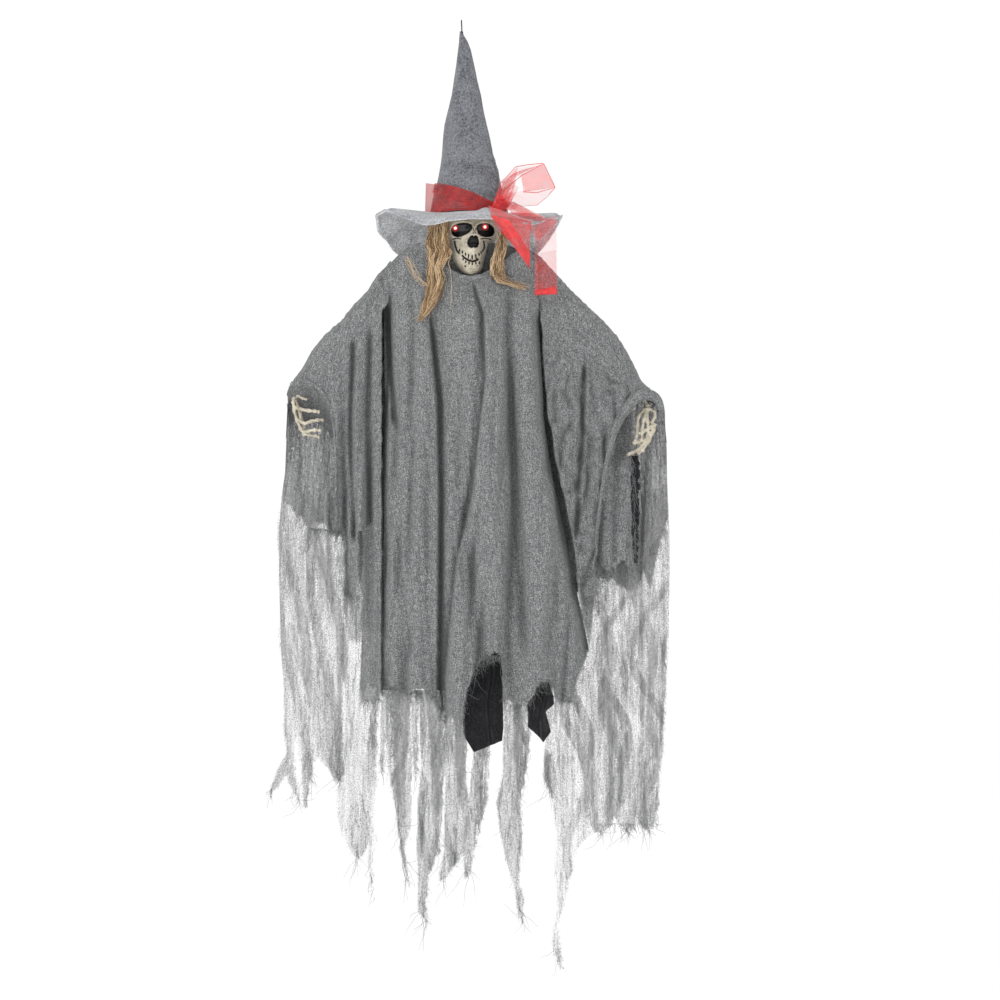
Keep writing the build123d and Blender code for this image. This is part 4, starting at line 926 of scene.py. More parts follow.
for side, bones in HAND_BONES.items():
    net = Net()
    for line, girth in bones:
        p = np.array(line, float) + (WRIST_END[side][0], 0, WRIST_END[side][1])
        s = np.linspace(0, len(p) - 1, 12 * len(p))
        path = np.stack([eased(values) for values in along_path(p, s).T], -1)
        along = unit(np.gradient(path, axis=0))
        across = unit(np.cross(along, [0.2, 1, 0.1]))
        phi = turns(12)[None, :, None]
        knuckle = girth * (1.08 + 0.46 * np.abs(np.cos(math.pi * s)) ** 4)
        turned = np.cos(phi) * across[:, None] + np.sin(phi) * np.cross(along, across)[:, None]
        ring = path[:, None] + knuckle[:, None, None] * turned
        first = path[:1, None] - along[:1, None] * girth * 0.5 + 0 * ring[:1]
        last = path[-1:, None] + along[-1:, None] * girth * 0.6 + 0 * ring[-1:]
        ring = np.concatenate([first, ring, last])
        net.grid(ring * MM, flat_lay(ring * MM), closed=True)
    hand = net.piece(f"{side}_hand_bones", BONE, "bone_plastic")
    remesh = hand.modifiers.new("fuse", "REMESH")
    remesh.mode, remesh.voxel_size = "VOXEL", HAND_VOXEL
    ease = hand.modifiers.new("ease", "SMOOTH")
    ease.factor, ease.iterations = 0.5, 2
    mesh = bpy.data.meshes.new_from_object(hand.evaluated_get(bpy.context.evaluated_depsgraph_get()))
    hand.modifiers.clear()
    hand.data = mesh
    n = len(mesh.vertices)
    co, no = np.zeros(n * 3, np.float32), np.zeros(n * 3, np.float32)
    mesh.vertices.foreach_get("co", co)
    mesh.vertices.foreach_get("normal", no)
    co, no = co.reshape(-1, 3).astype(float), no.reshape(-1, 3).astype(float)
    co = co + no * (0.0004 * waves(co[:, 0] + co[:, 1], co[:, 2], 0.007, 81))[:, None]
    mesh.vertices.foreach_set("co", co.astype(np.float32).ravel())
    lay = np.zeros((n, 3))
    # painted shade: the bone darkens in patches on faces that turn sideways or down
    lay[:, 2] = 0.10 + 0.22 * smooth(0.5 - no[:, 2]) * smooth(0.4 + waves(co[:, 0], co[:, 2], 0.012, 82))
    if "lay" not in mesh.attributes:
        mesh.attributes.new("lay", "FLOAT_VECTOR", "POINT")
    mesh.attributes["lay"].data.foreach_set("vector", lay.astype(np.float32).ravel())
    mesh.polygons.foreach_set("use_smooth", np.ones(len(mesh.polygons), bool))
    mesh.materials.clear()
    mesh.materials.append(BONE)
    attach(hand, f"{side}_hand")
    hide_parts(f"{side}_hand")


# ---------------------------------------------------------------- robe: all lengths here are mm
# The line over both arms and shoulders, x and height.
TOP = (
    (-333, -790), (-331, -742), (-329, -712), (-320, -682), (-303, -660), (-284, -625), (-261, -597),
    (-227, -568), (-206, -540), (-178, -511), (-161, -483), (-121, -443), (-95, -428), (-64, -416),
    (0, -410), (80, -416), (130, -435), (142, -440), (160, -458), (183, -483), (208, -511), (238, -540),
    (269, -568), (294, -597), (313, -625), (328, -654), (341, -682), (371, -711), (385, -739),
    (388, -790),
)
OUTER = {
    "left": (
        (-790, -333), (-853, -337), (-910, -345), (-967, -349), (-1053, -349), (-1195, -345),
        (-1300, -338), (-1400, -340), (-1430, -356), (-1480, -376),
    ),
    "right": (
        (-739, 385), (-796, 387), (-910, 391), (-967, 394), (-1053, 394), (-1195, 393), (-1300, 390),
    ),
}
NECKLINE = (
    (-145, -474), (-121, -450), (-95, -430), (-75, -424), (-60, -440), (-30, -468), (0, -484),
    (18, -488), (40, -484), (70, -468), (95, -448), (115, -436), (130, -442), (145, -454),
)
SPLIT = ((-440, 145), (-555, 146), (-752, 155), (-872, 174), (-1030, 206), (-1157, 235), (-1300, 262))
FRONT_HEM = (
    (-150, -1264), (-137, -1262), (-100, -1272), (-60, -1274), (-46, -1296), (-38, -1318), (-20, -1312),
    (-4, -1318), (5, -1290), (12, -1258), (24, -1228), (40, -1208), (60, -1204), (76, -1206),
    (80, -1288), (100, -1300), (124, -1296), (132, -1280), (146, -1256), (160, -1246), (172, -1262),
    (177, -1290), (205, -1290), (240, -1200),
)
HEM_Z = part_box("robe_body")[0].z / MM
BODY_WEAVE = 1.35
FRONT_LEFT = -146


def bodice(x, z):
    """How far the robe stands forward of the rod."""
    depth = table(-z, ((430, 50), (470, 42), (487, 38), (505, 54), (525, 66), (560, 80), (620, 90),
            (900, 102), (1275, 110)))
    width = table(-z, ((430, 150), (500, 158), (700, 168), (900, 182), (1275, 215)))
    return 34 + (depth - 34) * np.sqrt(np.clip(1 - ((x - 28) / width) ** 2, 0, 1))


def ruck(x, z, scale, seed, stretch=0.10, lean=0.0):
    """Soft upright folds, -1 to about 1, with round ridges and pinched valleys."""
    w = waves(x + lean * z, z * stretch, scale, seed, 5)
    return np.sqrt(w * w + 0.03) * 1.5 - 1.0


def valley(x, z, path, width, depth, fade=30):
    zs = [p[1] for p in path]
    middle = table(z, [(p[1], p[0]) for p in path])
    return depth * smooth((z - min(zs)) / fade) * smooth((max(zs)
            - z) / fade) * np.exp(-np.abs((x - middle) / width) ** 2.2)


def torn(t, seed, size):
    return size * (0.55 * jagged(t, 34, seed) + 0.3 * jagged(t, 12, seed + 1)
        + 0.25 * jagged(t, 4.5, seed + 2))


def inside_strips(x, z, strips, seed):
    """Millimetres inside the nearest torn strip; each strip is (x, z, width) from its top down."""
    best = np.full(x.shape, -50.0)
    for i, path in enumerate(strips):
        p = np.array(path, float)
        middle, width = (table(-z, np.stack([-p[:, 1], p[:, k]], 1)) for k in (0, 2))
        fray = 2.6 * jagged(z, 16, seed + 7 * i) + 1.6 * jagged(z, 5, seed + 7 * i + 1)
        d = (
            width / 2 - np.abs(x - middle - 2.2 * jagged(z, 40, seed + 7 * i + 2))
            + fray * np.sign(x - middle) * 0.5 + fray * 0.4
        )
        d = np.minimum(d, (z - p[-1, 1]) * 0.5)
        best = np.maximum(best, np.where(z <= p[0, 1] + 4, d, -50))
    return best


def cloth_grid(net, x, z, y, density):
    """Adds a sheet, with painted shade in its folds' floors: darker where it is dense, and more opaque and darker
    where it is sheer.
    """
    wide = 8
    padded = np.pad(y, ((0, 0), (wide, wide)), "edge")
    total = np.cumsum(np.pad(padded, ((0, 0), (1, 0))), axis=1)
    level = (total[:, 2 * wide + 1:] - total[:, :-2 * wide - 1]) / (2 * wide + 1)
    # painted shade: how deep each point sits in a fold, against the mean depth of its neighbours along the row
    crease_shade = np.clip(np.where(y < 30, y - level, level - y) / 8.0 - 0.05, 0, 1)
    density = np.where(density > 1.2, density + 0.62 * crease_shade, density
        + 0.35 * crease_shade * smooth(density / 0.3))
    keep = np.maximum.reduce([density[:-1, :-1], density[1:, :-1], density[:-1, 1:],
            density[1:, 1:]]) > 0.06
    points = np.stack([x, y, z], -1) * MM
    lay = flat_lay(points)
    lay[..., 2] = density
    net.grid(points, lay, keep)


def columns(x0, x1, z_top, z_low, dx=2.6, dz=3.6):
    """A sheet's grid: even columns from x0 to x1, rows from z_top(x) down to z_low."""
    n, m = int(abs(x1 - x0) / dx) + 2, int(abs(np.max(z_top(np.linspace(x0, x1, 50))) - z_low) / dz) + 2
    x, v = np.meshgrid(np.linspace(x0, x1, n), np.linspace(0, 1, m))
    top = z_top(x)
    return x, top + v * (z_low - top)


def top_line(x):
    return table(x, TOP)


# front of the body
u, v = np.meshgrid(np.linspace(0, 1, 150), np.linspace(0, 1, 320))
x = FRONT_LEFT + u * 292
top = table(x, NECKLINE)
z = top + v * (HEM_Z - 62 - top)
x = FRONT_LEFT + 1.5 * jagged(z, 60, 301) + u * (table(z, SPLIT) - FRONT_LEFT)
low = smooth((-z - 520) / 300)
y = -bodice(x, z)
for size, deeper, *how in ((4.0, 13.0, 104, 302, 0.05, 0.03), (1.0, 3.6, 46, 303, 0.05, -0.05),
    (0.6, 0.8, 19, 304, 0.08, 0.06)):
    y = y - (size + deeper * low) * ruck(x, z, *how)
rim = x - table(z, ((-1320, -44), (-900, -42), (-720, -46), (-620, -56), (-520, -66)))
y = y + 34 * smooth((-z - 525) / 90) * smooth((rim + 2) / 5) * np.exp(-np.clip(rim, 0, 99) / 17.0)
y = y - 5 * bell((rim + 9) / 8.0) * smooth((-z - 525) / 90)
rim = x - table(z, ((-1240, -30), (-1030, -9), (-891, 22), (-680, 46), (-560, 42), (-520, 30), (-480, 20)))
y = y + 19 * smooth((-z - 486) / 30) * smooth((4 - rim) / 6) * np.exp(-np.clip(-rim, 0, 99) / 16.0)
y = y - 5 * bell((rim - 10) / 9.0) * smooth((-z - 486) / 60)
for path, width, depth, fade in (
    (((-141, -530), (-126, -780)), 6, 26, 30),
    (((98, -470), (88, -600), (104, -900), (120, -1240)), 10, 12, 80),
    (((-96, -470), (-92, -700), (-98, -1260)), 9, 9, 80),
    (((62, -600), (60, -900), (66, -1250)), 18, -6, 90),
):
    y = y + valley(x, z, path, width, depth, fade)
y = y + 26 * (1 - smooth(u / 0.07)) ** 2 * smooth((-z - 508) / 30)
y = y + 30 * (1 - smooth((1 - u) / 0.08)) ** 2 * smooth((-z - 545) / 30)
y = y - 5 * bell((z - top) / 6.0) * (np.abs(x) < 118)
edge = np.minimum(z - (table(x, FRONT_HEM) + torn(x, 310, 15) + 2.5 * jagged(x, 2.6, 311)), 6)
density = BODY_WEAVE * smooth(edge / 5)
net = Net()
cloth_grid(net, x, z, y, density)
front = net.piece("robe_front", [ROBE, GAUZE], "robe_gauze", "torso")

# back of the body, up to the collar behind the skull
x, z = columns(-168, 172, lambda x: table(x, TOP) - 3 + 0 * x, HEM_Z - 40, 3.0, 4.6)
wide = table(-z, ((400, 0), (1275, 26)))
x = x + wide * (x - 2) / 170
depth = table(-z, ((410, 50), (440, 56), (500, 74), (620, 90), (900, 100), (1275, 106)))
y = 36 + (depth - 36) * np.sqrt(np.clip(1 - ((x - 15) / (178 + wide)) ** 2, 0, 1))
low = smooth((-z - 470) / 300)
for size, deeper, *how in ((3, 13, 100, 322, 0.08), (1, 5, 44, 323, 0.11), (0.7, 0, 15, 324, 0.4)):
    y = y + (size + deeper * low) * ruck(x, z, *how)
edge = z - (HEM_Z - 6 + torn(x, 325, 30))
density = BODY_WEAVE * smooth(edge / 5)
net = Net()
cloth_grid(net, x, z, y, density)
back = net.piece("robe_back", [ROBE, GAUZE], "robe_gauze", "torso")

# ---------------------------------------------------------------- wings: a folded sheet over each arm
SIDE_STRIPS = {
    "left": (
        (
            (-330, -1180, 50), (-330, -1271, 32), (-330, -1338, 25), (-327, -1395, 13),
            (-336, -1423, 34), (-346, -1438, 22), (-358, -1455, 15), (-366, -1474, 8),
        ),
        ((-326, -1400, 14), (-325, -1440, 17), (-318, -1462, 14), (-311, -1482, 3)),
        (
            (-266, -1180, 110), (-263, -1271, 72), (-256, -1338, 61), (-250, -1395, 52),
            (-238, -1423, 30), (-232, -1452, 8),
        ),
        ((-272, -1380, 22), (-284, -1410, 17), (-288, -1450, 4)),
        (
            (-195, -1180, 90), (-193, -1271, 65), (-193, -1395, 65), (-200, -1452, 76),
            (-200, -1509, 72), (-199, -1547, 61), (-197, -1571, 38), (-199, -1592, 6),
        ),
        ((-176, -1520, 16), (-170, -1547, 15), (-172, -1594, 12), (-170, -1668, 4)),
    ),
    "right": (
        (
            (202, -1180, 95), (202, -1271, 87), (202, -1423, 91), (210, -1509, 72), (214, -1541, 66),
            (199, -1575, 42), (191, -1613, 34), (189, -1670, 15), (181, -1718, 10), (180, -1756, 19),
            (191, -1801, 4),
        ),
        ((276, -1180, 80), (274, -1400, 76), (272, -1480, 66), (266, -1526, 44), (262, -1544, 16)),
        ((316, -1180, 66), (316, -1423, 62), (312, -1500, 52), (316, -1536, 30), (318, -1546, 8)),
        (
            (358, -1180, 72), (356, -1320, 66), (352, -1420, 60), (350, -1480, 50), (352, -1524, 36),
            (356, -1540, 12),
        ),
    ),
}
REAR_STRIPS = {
    "left": (
        ((-300, -1180, 90), (-296, -1300, 60), (-300, -1400, 26), (-296, -1500, 8)),
        ((-214, -1180, 70), (-222, -1330, 44), (-216, -1450, 20), (-220, -1540, 5)),
    ),
    "right": (
        ((240, -1180, 90), (236, -1320, 60), (244, -1440, 26), (240, -1530, 6)),
        ((352, -1180, 80), (350, -1320, 60), (346, -1450, 46), (350, -1560, 8)),
    ),
}


def roll(x, top, radius, rows=9):
    """Rows that carry cloth over the arm from its front to its back."""
    phi = np.linspace(0, math.pi, rows)[:, None]
    return (
        np.repeat(x[None], rows, 0), top[None] - radius[None] * (1 - np.sin(phi)),
        -radius[None] * np.cos(phi)
    )


def over_arm(side, x_in, x_out, front_low, back_low, front_y, back_y, front_cover, back_cover):
    """The main sheet: up the front, over the arm and down the back."""
    x = np.linspace(x_in, x_out, int(abs(x_out - x_in) / 2.5))
    top = top_line(x)
    wrist = abs(WRIST[side][0]) / MM
    radius = np.interp(np.abs(x), [140, 180, wrist - 20, wrist + 30], [20, 36, 30, 9])
    rx, rz, ry = roll(x, top, radius)
    start = rz[0]
    parts = []
    for z_low, y_of, sign in ((front_low, front_y, -1), (back_low, back_y, 1)):
        rows = int((start.max() - z_low) / 3.4)
        v = np.linspace(0, 1, rows)[:, None]
        z = start[None] + v * (z_low - start[None])
        xx = np.repeat(x[None], rows, 0)
        outer = table(z, OUTER[side]) - OUTER[side][0][1]
        xx = xx + outer * smooth((np.abs(xx) - 200) / 130) * smooth(((OUTER[side][0][0]) - z + 60) / 120)
        settle = smooth((start[None] - z) / 70)
        y = sign * radius[None] * (1 - settle) + y_of(xx, z) * settle
        parts.append((xx, z, y))
    (fx, fz, fy), (bx, bz, by) = parts
    rz = rz + 1.28 * ruck(rx, rz * 0.3, 17, 333, 0.6)
    xs, zs, ys = (np.concatenate([a[:0:-1], b, c[1:]]) for a, b,
        c in ((fx, rx, bx), (fz, rz, bz), (fy, ry, by)))
    density = np.concatenate([front_cover(fx, fz)[:0:-1], np.full(rx.shape, 1.4), back_cover(bx, bz)[1:]])
    return xs, zs, ys, density


def drift(x, z, seed):
    """Pleats that hang from the arm and deepen downwards."""
    grow = smooth((-z - 560) / 420)
    under = top_line(x) - z
    cuff = 3.4 * np.exp(-under / 48) * smooth(under / 8) * smooth((np.abs(x) - 150) / 50)
    cuff = cuff * ruck(under + 0.35 * np.abs(x), x * 0.35, 17, seed + 5, 0.7)
    broad = (3.5 + 10.5 * grow) * ruck(x, z, 72, seed, 0.06, 0.03)
    narrow = (1.6 + 4.4 * grow) * ruck(x, z, 33.6, seed + 1, 0.07, -0.04)
    return cuff + broad + narrow + 0.6 * ruck(x, z, 11, seed + 2, 0.25)


def opening_left(x):
    """Height of the front layer's lower edge over the left hand."""
    return table(x, ((-345, -700), (-335, -700), (-318, -687), (-303, -682), (-280, -689), (-259, -703),
            (-246, -724), (-238, -760), (-234, -800), (-231, -905), (-228, -985)))


def left_front_y(x, z):
    y = -44 - 0.06 * (-z - 600) * smooth((-z - 600) / 200) * smooth((x + 250) / 80) - 0.8 * drift(x, z, 340)
    y = y + valley(x, z, ((-204, -590), (-208, -760), (-201, -1000)), 6, 20)
    return y + valley(x, z, ((-172, -560), (-176, -800), (-168, -1240)), 6, 10, 60)


def left_front_cover(x, z):
    dense = np.where(x < -229, z - opening_left(x), z - (-966 + torn(x, 352, 22)))
    tongue = np.minimum(15 - np.abs(x + 207 + 3 * jagged(z, 20, 353)), z + 1094)
    panel = np.minimum(x + 190 + 4 * jagged(z, 25, 354), z + 1286 + torn(x, 355, 18))
    solid = np.maximum(smooth(dense / 4), smooth(tongue / 5))
    sheer = np.where(x > -235, 0.84 * smooth(panel / 6)
        + 0.10 * smooth((z + 1190) / 60) * smooth((x + 232) / 8), 0)
    edge = smooth(np.minimum(-149.5 + 14 * (1 - smooth((-z - 532) / 26)) + 1.5 * jagged(z, 18, 356) - x,
            6) / 4)
    return np.maximum(1.4 * solid, sheer) * edge


def back_y(side):
    seed = 361 if side == "left" else 371
    sign = -1 if side == "left" else 1

    def shape(x, z):
        near_body = smooth((235 - np.abs(x)) / 80)
        return (
            41 + near_body * table(-z, ((500, 10), (700, 30), (1275, 44)))
            + 0.75 * drift(x + 0.01 * sign * z, z, seed)
        )

    return shape


def sheer_cover(x, z, strips, opaque_low, seed, dense=0.46):
    """Opaque down to opaque_low(x), open gauze below, then torn strips."""
    solid = smooth((z - opaque_low(x) - torn(x, seed, 26)) / 5)
    body = smooth((z + 1185) / 12)
    strip = smooth(inside_strips(x, z, strips, seed + 20) / 3.0)
    patchy = dense - 0.25 + 0.09 * waves(x, z * 0.16, 52, seed + 3) + 0.05 * waves(x, z * 0.1, 12, seed + 4)
    folded = smooth(8 * (np.sin(x / 11.0 + 2.4 * waves(x * 0.2, z, 300, seed + 6, 3)) - 0.62)) * 0.27
    # painted light: from 222 mm out and 610 mm down, the solid cloth is thinned to a lighter, part-sheer weave, to
    # lift the shade inside behind the hands
    painted_lift = smooth((-z - 610) / 60) * smooth((np.abs(x) - 222) / 16)
    return np.maximum((1.4 - 0.56 * painted_lift) * solid, (patchy + folded) * np.maximum(body, strip))


def back_opaque(side):
    if side == "left":
        return lambda x: table(x, ((-350, -905), (-330, -930), (-300, -962), (-270, -968), (-235, -985),
                (-200, -1040), (-150, -1250)))
    return lambda x: table(x, ((145, -1210), (200, -1120), (250, -1060), (300, -1060), (322, -1085),
            (345, -1040), (362, -1085), (380, -1000), (396, -940)))


SPLIT_GAP = ((500, 2), (700, 5), (777, 9), (1000, 14), (1090, 2), (1200, -2))
SWAG_EDGE = (
    (-560, 420), (-690, 420), (-701, 372), (-716, 331), (-740, 312), (-773, 298), (-800, 291),
    (-870, 279), (-950, 263), (-1020, 255), (-1160, 249),
)


def right_front_y(x, z):
    from_crown = np.hypot(x - 215, z + 555)
    angle = np.arctan2(-(z + 555), x - 215)
    fan = np.sin(angle * 21 + 0.9 * waves(x, z, 90, 381)) * smooth((from_crown - 30) / 130) * smooth((-z
            - 540) / 90)
    fan = (np.sqrt(fan * fan + 0.05) * 1.5 - 0.8) * table(from_crown,
        ((0, 0), (120, 4.0), (300, 7.5), (600, 6)))
    under = top_line(x) - z
    cuff = 4.2 * np.exp(-under / 60) * smooth(under / 8) * ruck(under + 0.35 * x, x * 0.35, 18, 383, 0.7)
    y = -46 - 0.05 * (-z - 600) * smooth((-z - 600) / 200) * smooth((240 - x) / 80) - 1.25 * fan - cuff
    y = y - 2.0 * ruck(x, z, 26, 384, 0.1, 0.12) * smooth((-z - 540) / 90) - 0.9 * ruck(x, z, 15, 382, 0.35)
    return (
        y + valley(x, z, ((233, -640), (228, -800), (214, -1000)), 5, 12)
        - valley(x, z, ((268, -640), (258, -800), (238, -1010)), 9, 7)
    )


def right_front_cover(x, z):
    inner = (
        x - table(z, SPLIT) + 16 * (1 - smooth((-z - 530) / 30)) - table(-z, SPLIT_GAP)
        - 2 * jagged(z, 22, 391)
    )
    outer = table(z, SWAG_EDGE) - x + 2.5 * jagged(z, 14, 392)
    edge = np.minimum(np.minimum(inner, outer), z + 1150 + torn(x, 393, 26))
    return 1.4 * smooth(edge / 5)


def loose_left(x, z, seed, inside):
    """Density of the left wing's second layer, and its place in depth."""
    y = 20 + 0.6 * drift(x, z, seed) - 0.012 * (-z - 900) * smooth((-z - 900) / 200)
    cover = sheer_cover(x, z, SIDE_STRIPS["left"], lambda x: x * 0 - 700, seed + 3, 0.50)
    cover = cover * inside * smooth((-z - 830 - 10 * jagged(x, 20, seed + 5)) / 14)
    return y, cover * smooth((-z - 905) / 30 + smooth((x + 250) / 20))


def loose_right(x, z, seed, inside):
    """The same for the right wing, with a close-woven panel in front of the gauze."""
    y = 14 + 0.6 * drift(x, z, seed) - 0.012 * (-z - 900) * smooth((-z - 900) / 200)
    panel_right = 324 + 3 * smooth((-z - 980) / 60) - x + 3 * jagged(z, 12, seed + 2)
    middle = np.minimum(x - 243 - table(-z, ((700, 8), (1050, -8))), panel_right)
    panel = 1.4 * smooth(np.minimum(middle, z + 1052 + torn(x, seed + 6, 34)) / 5)
    panel = panel * smooth((-z - 716 - np.abs(x - 300) * 0.25) / 6)
    forward = smooth((-z - 800) / 50)
    brought = (-24 - 0.5 * drift(x, z, seed + 8)) * forward + 12 * (1 - forward)
    y = np.where(panel > 0.02, np.minimum(y, brought), y)
    gauze = sheer_cover(x, z, SIDE_STRIPS["right"], lambda x: x * 0 - 700, seed + 3, 0.50)
    gauze = gauze * inside * smooth((-z - 900 - 20 * jagged(x, 20, seed + 5)) / 14)
    return y, np.maximum(panel, gauze)


def cuff_lining(net):
    """The ruffled cloth seen inside the left cuff."""
    x, t = np.meshgrid(np.linspace(-334, -231, 52), np.linspace(0, 1, 36))
    lip = np.minimum(opening_left(x) + 3, -686)
    z = lip - t * 74
    ripple = np.hypot(x + 316, z + 722)
    y = -42 + 82 * smooth(t) - 3.2 * ruck(ripple, 0.3 * x, 11, 471, 0.5)
    cloth_grid(net, x, z, y, smooth((top_line(x) - z + 1) / 4))


# Each wing: how far in and out its main sheet goes and how low in front; its front's depth and density; which
# torn strips the back shows; a seed; then its second layer's reach, top, seed and shape.
WING_PLANS = {
    "left": ((-134, -333, -1300), left_front_y, left_front_cover, slice(0, 3), 410,
        (-352, -150, -760, 440), loose_left),
    "right": ((130, 388, -1200), right_front_y, right_front_cover, slice(1, 4), 430, (150, 396, -700, 460),
        loose_right),
}
wings, edgings = {}, {}
for side, (reach, front_y, front_cover, shown, back_seed, layer, loose) in WING_PLANS.items():
    net = Net()
    opaque, strips = back_opaque(side), SIDE_STRIPS[side][shown] + REAR_STRIPS[side][:1]
    back_cover = lambda x, z: sheer_cover(x, z, strips, opaque, back_seed)
    cloth_grid(net, *over_arm(side, *reach, -1560, front_y, back_y(side), front_cover, back_cover))
    low = min(p[-1][1] for p in SIDE_STRIPS[side]) - 4
    lo, hi, top, seed = layer
    x, z = columns(lo, hi, lambda x: top_line(x) * 0 + top, low)
    outward = 1 if side == "right" else -1
    inside = smooth((table(z, OUTER[side]) * outward - np.abs(x) + 1 + 3 * jagged(z, 20, seed + 1)) / 5)
    y, cover = loose(x, z, seed, inside)
    cloth_grid(net, x, z, y, cover)
    if side == "left":
        cuff_lining(net)
    wings[side] = net.piece(f"{side}_wing", [ROBE, GAUZE], "robe_gauze")
    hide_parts(f"{side}_sleeve", f"{side}_drape")

# How far loose threads may pass the model's box (metres).
STRAY = 0.024
# The thick rolled edges of the two hand openings: the path and the roll's radius.
ROLLS = {
    "left": (
        (
            (-331, -14, -716), (-324, -28, -696), (-312, -36, -688), (-300, -40, -685),
            (-280, -44, -691), (-261, -46, -706), (-248, -47, -727), (-240, -48, -762),
            (-236, -49, -820), (-233, -50, -960),
        ),
        3.2,
    ),
    "right": (
        (
            (385, -8, -768), (381, -20, -740), (371, -30, -718), (351, -38, -709), (326, -44, -720),
            (303, -48, -748), (287, -51, -780), (275, -53, -830), (262, -54, -910), (250, -56, -1010),
        ),
        8.6,
    ),
}


# Torn edges that shed threads: how many, and where their roots lie (mm) for t from 0 to 1.
TORN_EDGES = {
    "left": (
        (120, lambda t: (-288 + 90 * t, -46 - 6 * t, -962 - 8 * t)),
        (40, lambda t: (-322 + 45 * t, 40, -935 - 35 * t)),
        (60, lambda t: (-222 + 30 * t, -58, -1088)),
        (60, lambda t: (-188 + 38 * t, -62, -1284)),
        (70, lambda t: (-232 - 2 * t, -52, -820 - 150 * t)),
        (40, lambda t: (-215, -52, -930 - 90 * t)),
    ),
    "right": (
        (90, lambda t: (324 + 6 * t, -28, -830 - 190 * t)),
        (70, lambda t: (250 + 75 * t, -30, -1050)),
        (60, lambda t: (330 + 44 * t, 42, -1060 + 80 * t)),
        (60, lambda t: (250 + 10 * t, -58, -1040 - 80 * t)),
        (60, lambda t: (255 + 120 * t, 14, -1526)),
    ),
}


def fringe(net, count, where, seed, length=(8, 34), radius=0.35, wild=1.0):
    """Loose threads that leave a torn edge; where(t) gives a root for t from 0 to 1, in mm."""
    r = np.random.default_rng(seed)
    root = np.array([where(t) for t in r.uniform(0, 1, count)], float)
    k = np.linspace(0, 1, 9)[None, :, None]
    reach = r.uniform(*length, (count, 1, 1)) * r.uniform(0.4, 1, (count, 1, 1))
    lean = np.stack([r.normal(0, 0.55 * wild, count), r.normal(-0.1, 0.25, count),
            r.normal(-1, 0.5 * wild, count)], -1)
    curl = np.stack([r.normal(0, 0.5, count), r.normal(0, 0.3, count), r.normal(-0.1, 0.5, count)],
        -1) * wild
    lean[:, 2] = np.minimum(lean[:, 2], 0.5)
    line = root[:, None] + reach * (k * lean[:, None] + k**2 * curl[:, None])
    line = line + 0.9 * np.sin(k * r.uniform(6, 15, (count, 1, 1)) + r.uniform(0, 6, (count, 1, 3)))
    net.tubes(line * MM, radius * MM, r.uniform(0, 1, count))


def strip_tip(path, spread_mm, y):
    """Roots for threads along a torn strip's last stretch."""

    def where(t):
        x, z = (table(t, ((0, path[-2][k]), (1, path[-1][k]))) for k in (0, 1))
        return x + spread_mm * (t - 0.5), y, z

    return where


def strip_sides(path, y):
    """Roots for threads on both sides of a torn strip."""

    def where(t):
        at = 1 + t * (len(path) - 2)
        half = 0.5 if round(t * 97) % 2 else -0.5
        return table(at, list(enumerate(w[0] + w[2] * half for w in path))), y, table(at,
            list(enumerate(w[1] for w in path)))

    return where


def carried(piece, side):
    """Bakes the piece's placement into its mesh."""
    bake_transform(piece)


# Painted shadow: a dark felt strip in the slit behind the right hand, where the robe's inside lies in shade.
x, z = columns(319, 339, lambda x: 0 * x - 820, -1036, 2.0, 3.0)
shadow_strip_edge = np.minimum(np.minimum(x - 322 + 1.5 * jagged(z, 7, 481), 336 + 2.5 * jagged(z, 8, 482) - x),
    np.minimum(z + 1030, -826 - z) * 0.2)
shadow_strip_net = Net()
cloth_grid(shadow_strip_net, x, z, 3 - 0.3 * drift(x, z, 483), 1.4 * smooth(shadow_strip_edge / 3))
shadow_strip = shadow_strip_net.piece("right_painted_shadow_strip", FELT, "robe_gauze")
carried(shadow_strip, "right")
for side in ROLLS:
    net = Net()
    path, thick = ROLLS[side]
    s = np.linspace(0, len(path) - 1, 130)
    line = along_path(path, s)
    for _ in range(3):
        line[:, 0], line[:, 2] = eased(line[:, 0]), eased(line[:, 2])
    across = np.cross(unit(np.gradient(line, axis=0)), [0, 1, 0])
    phi = turns(22)[None, :]
    fat = thick * (0.75 + 0.35 * np.sin(np.pi * np.clip(s / s.max() * 1.25, 0, 1)))[:, None]
    fat = fat * (1 + 0.16 * np.sin(3 * phi + s[:, None] * 1.3)
        + 0.12 * jagged(s[:, None] * 4 + phi, 1.7, 501))
    if side == "right":
        fat = fat * table(s, ((0, 0.35), (1, 0.8), (3, 1.15), (5, 1.0), (6.5, 0.75), (8, 0.45),
                (9, 0.2)))[:, None]
    tube = (
        line[:, None] + fat[..., None] * (np.cos(phi)[..., None] * across[:, None]
            + np.sin(phi)[..., None] * np.array([0, 1, 0]))
    )
    lay = flat_lay(tube * MM, 1.4)
    net.grid(tube * MM, lay, closed=True)
    for j, (count, where) in enumerate(TORN_EDGES[side]):
        fringe(net, count, where, 520 + 10 * j + len(side), (8, 30))
    for j, path in enumerate(SIDE_STRIPS[side]):
        fringe(net, 12, strip_tip(path, 6, 16), 560 + j, (10, 40), 0.3)
    for p in net.points:
        p[..., 0] = np.clip(p[..., 0], cad_box[0].x - STRAY, cad_box[1].x + STRAY)
    edging = net.piece(f"{side}_wing_edging", [ROBE, GAUZE], "robe_gauze")
    carried(wings[side], side)
    carried(edging, side)
    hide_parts(f"{side}_arm_padding")
    edgings[side] = edging
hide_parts("robe_body")
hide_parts("robe_body")

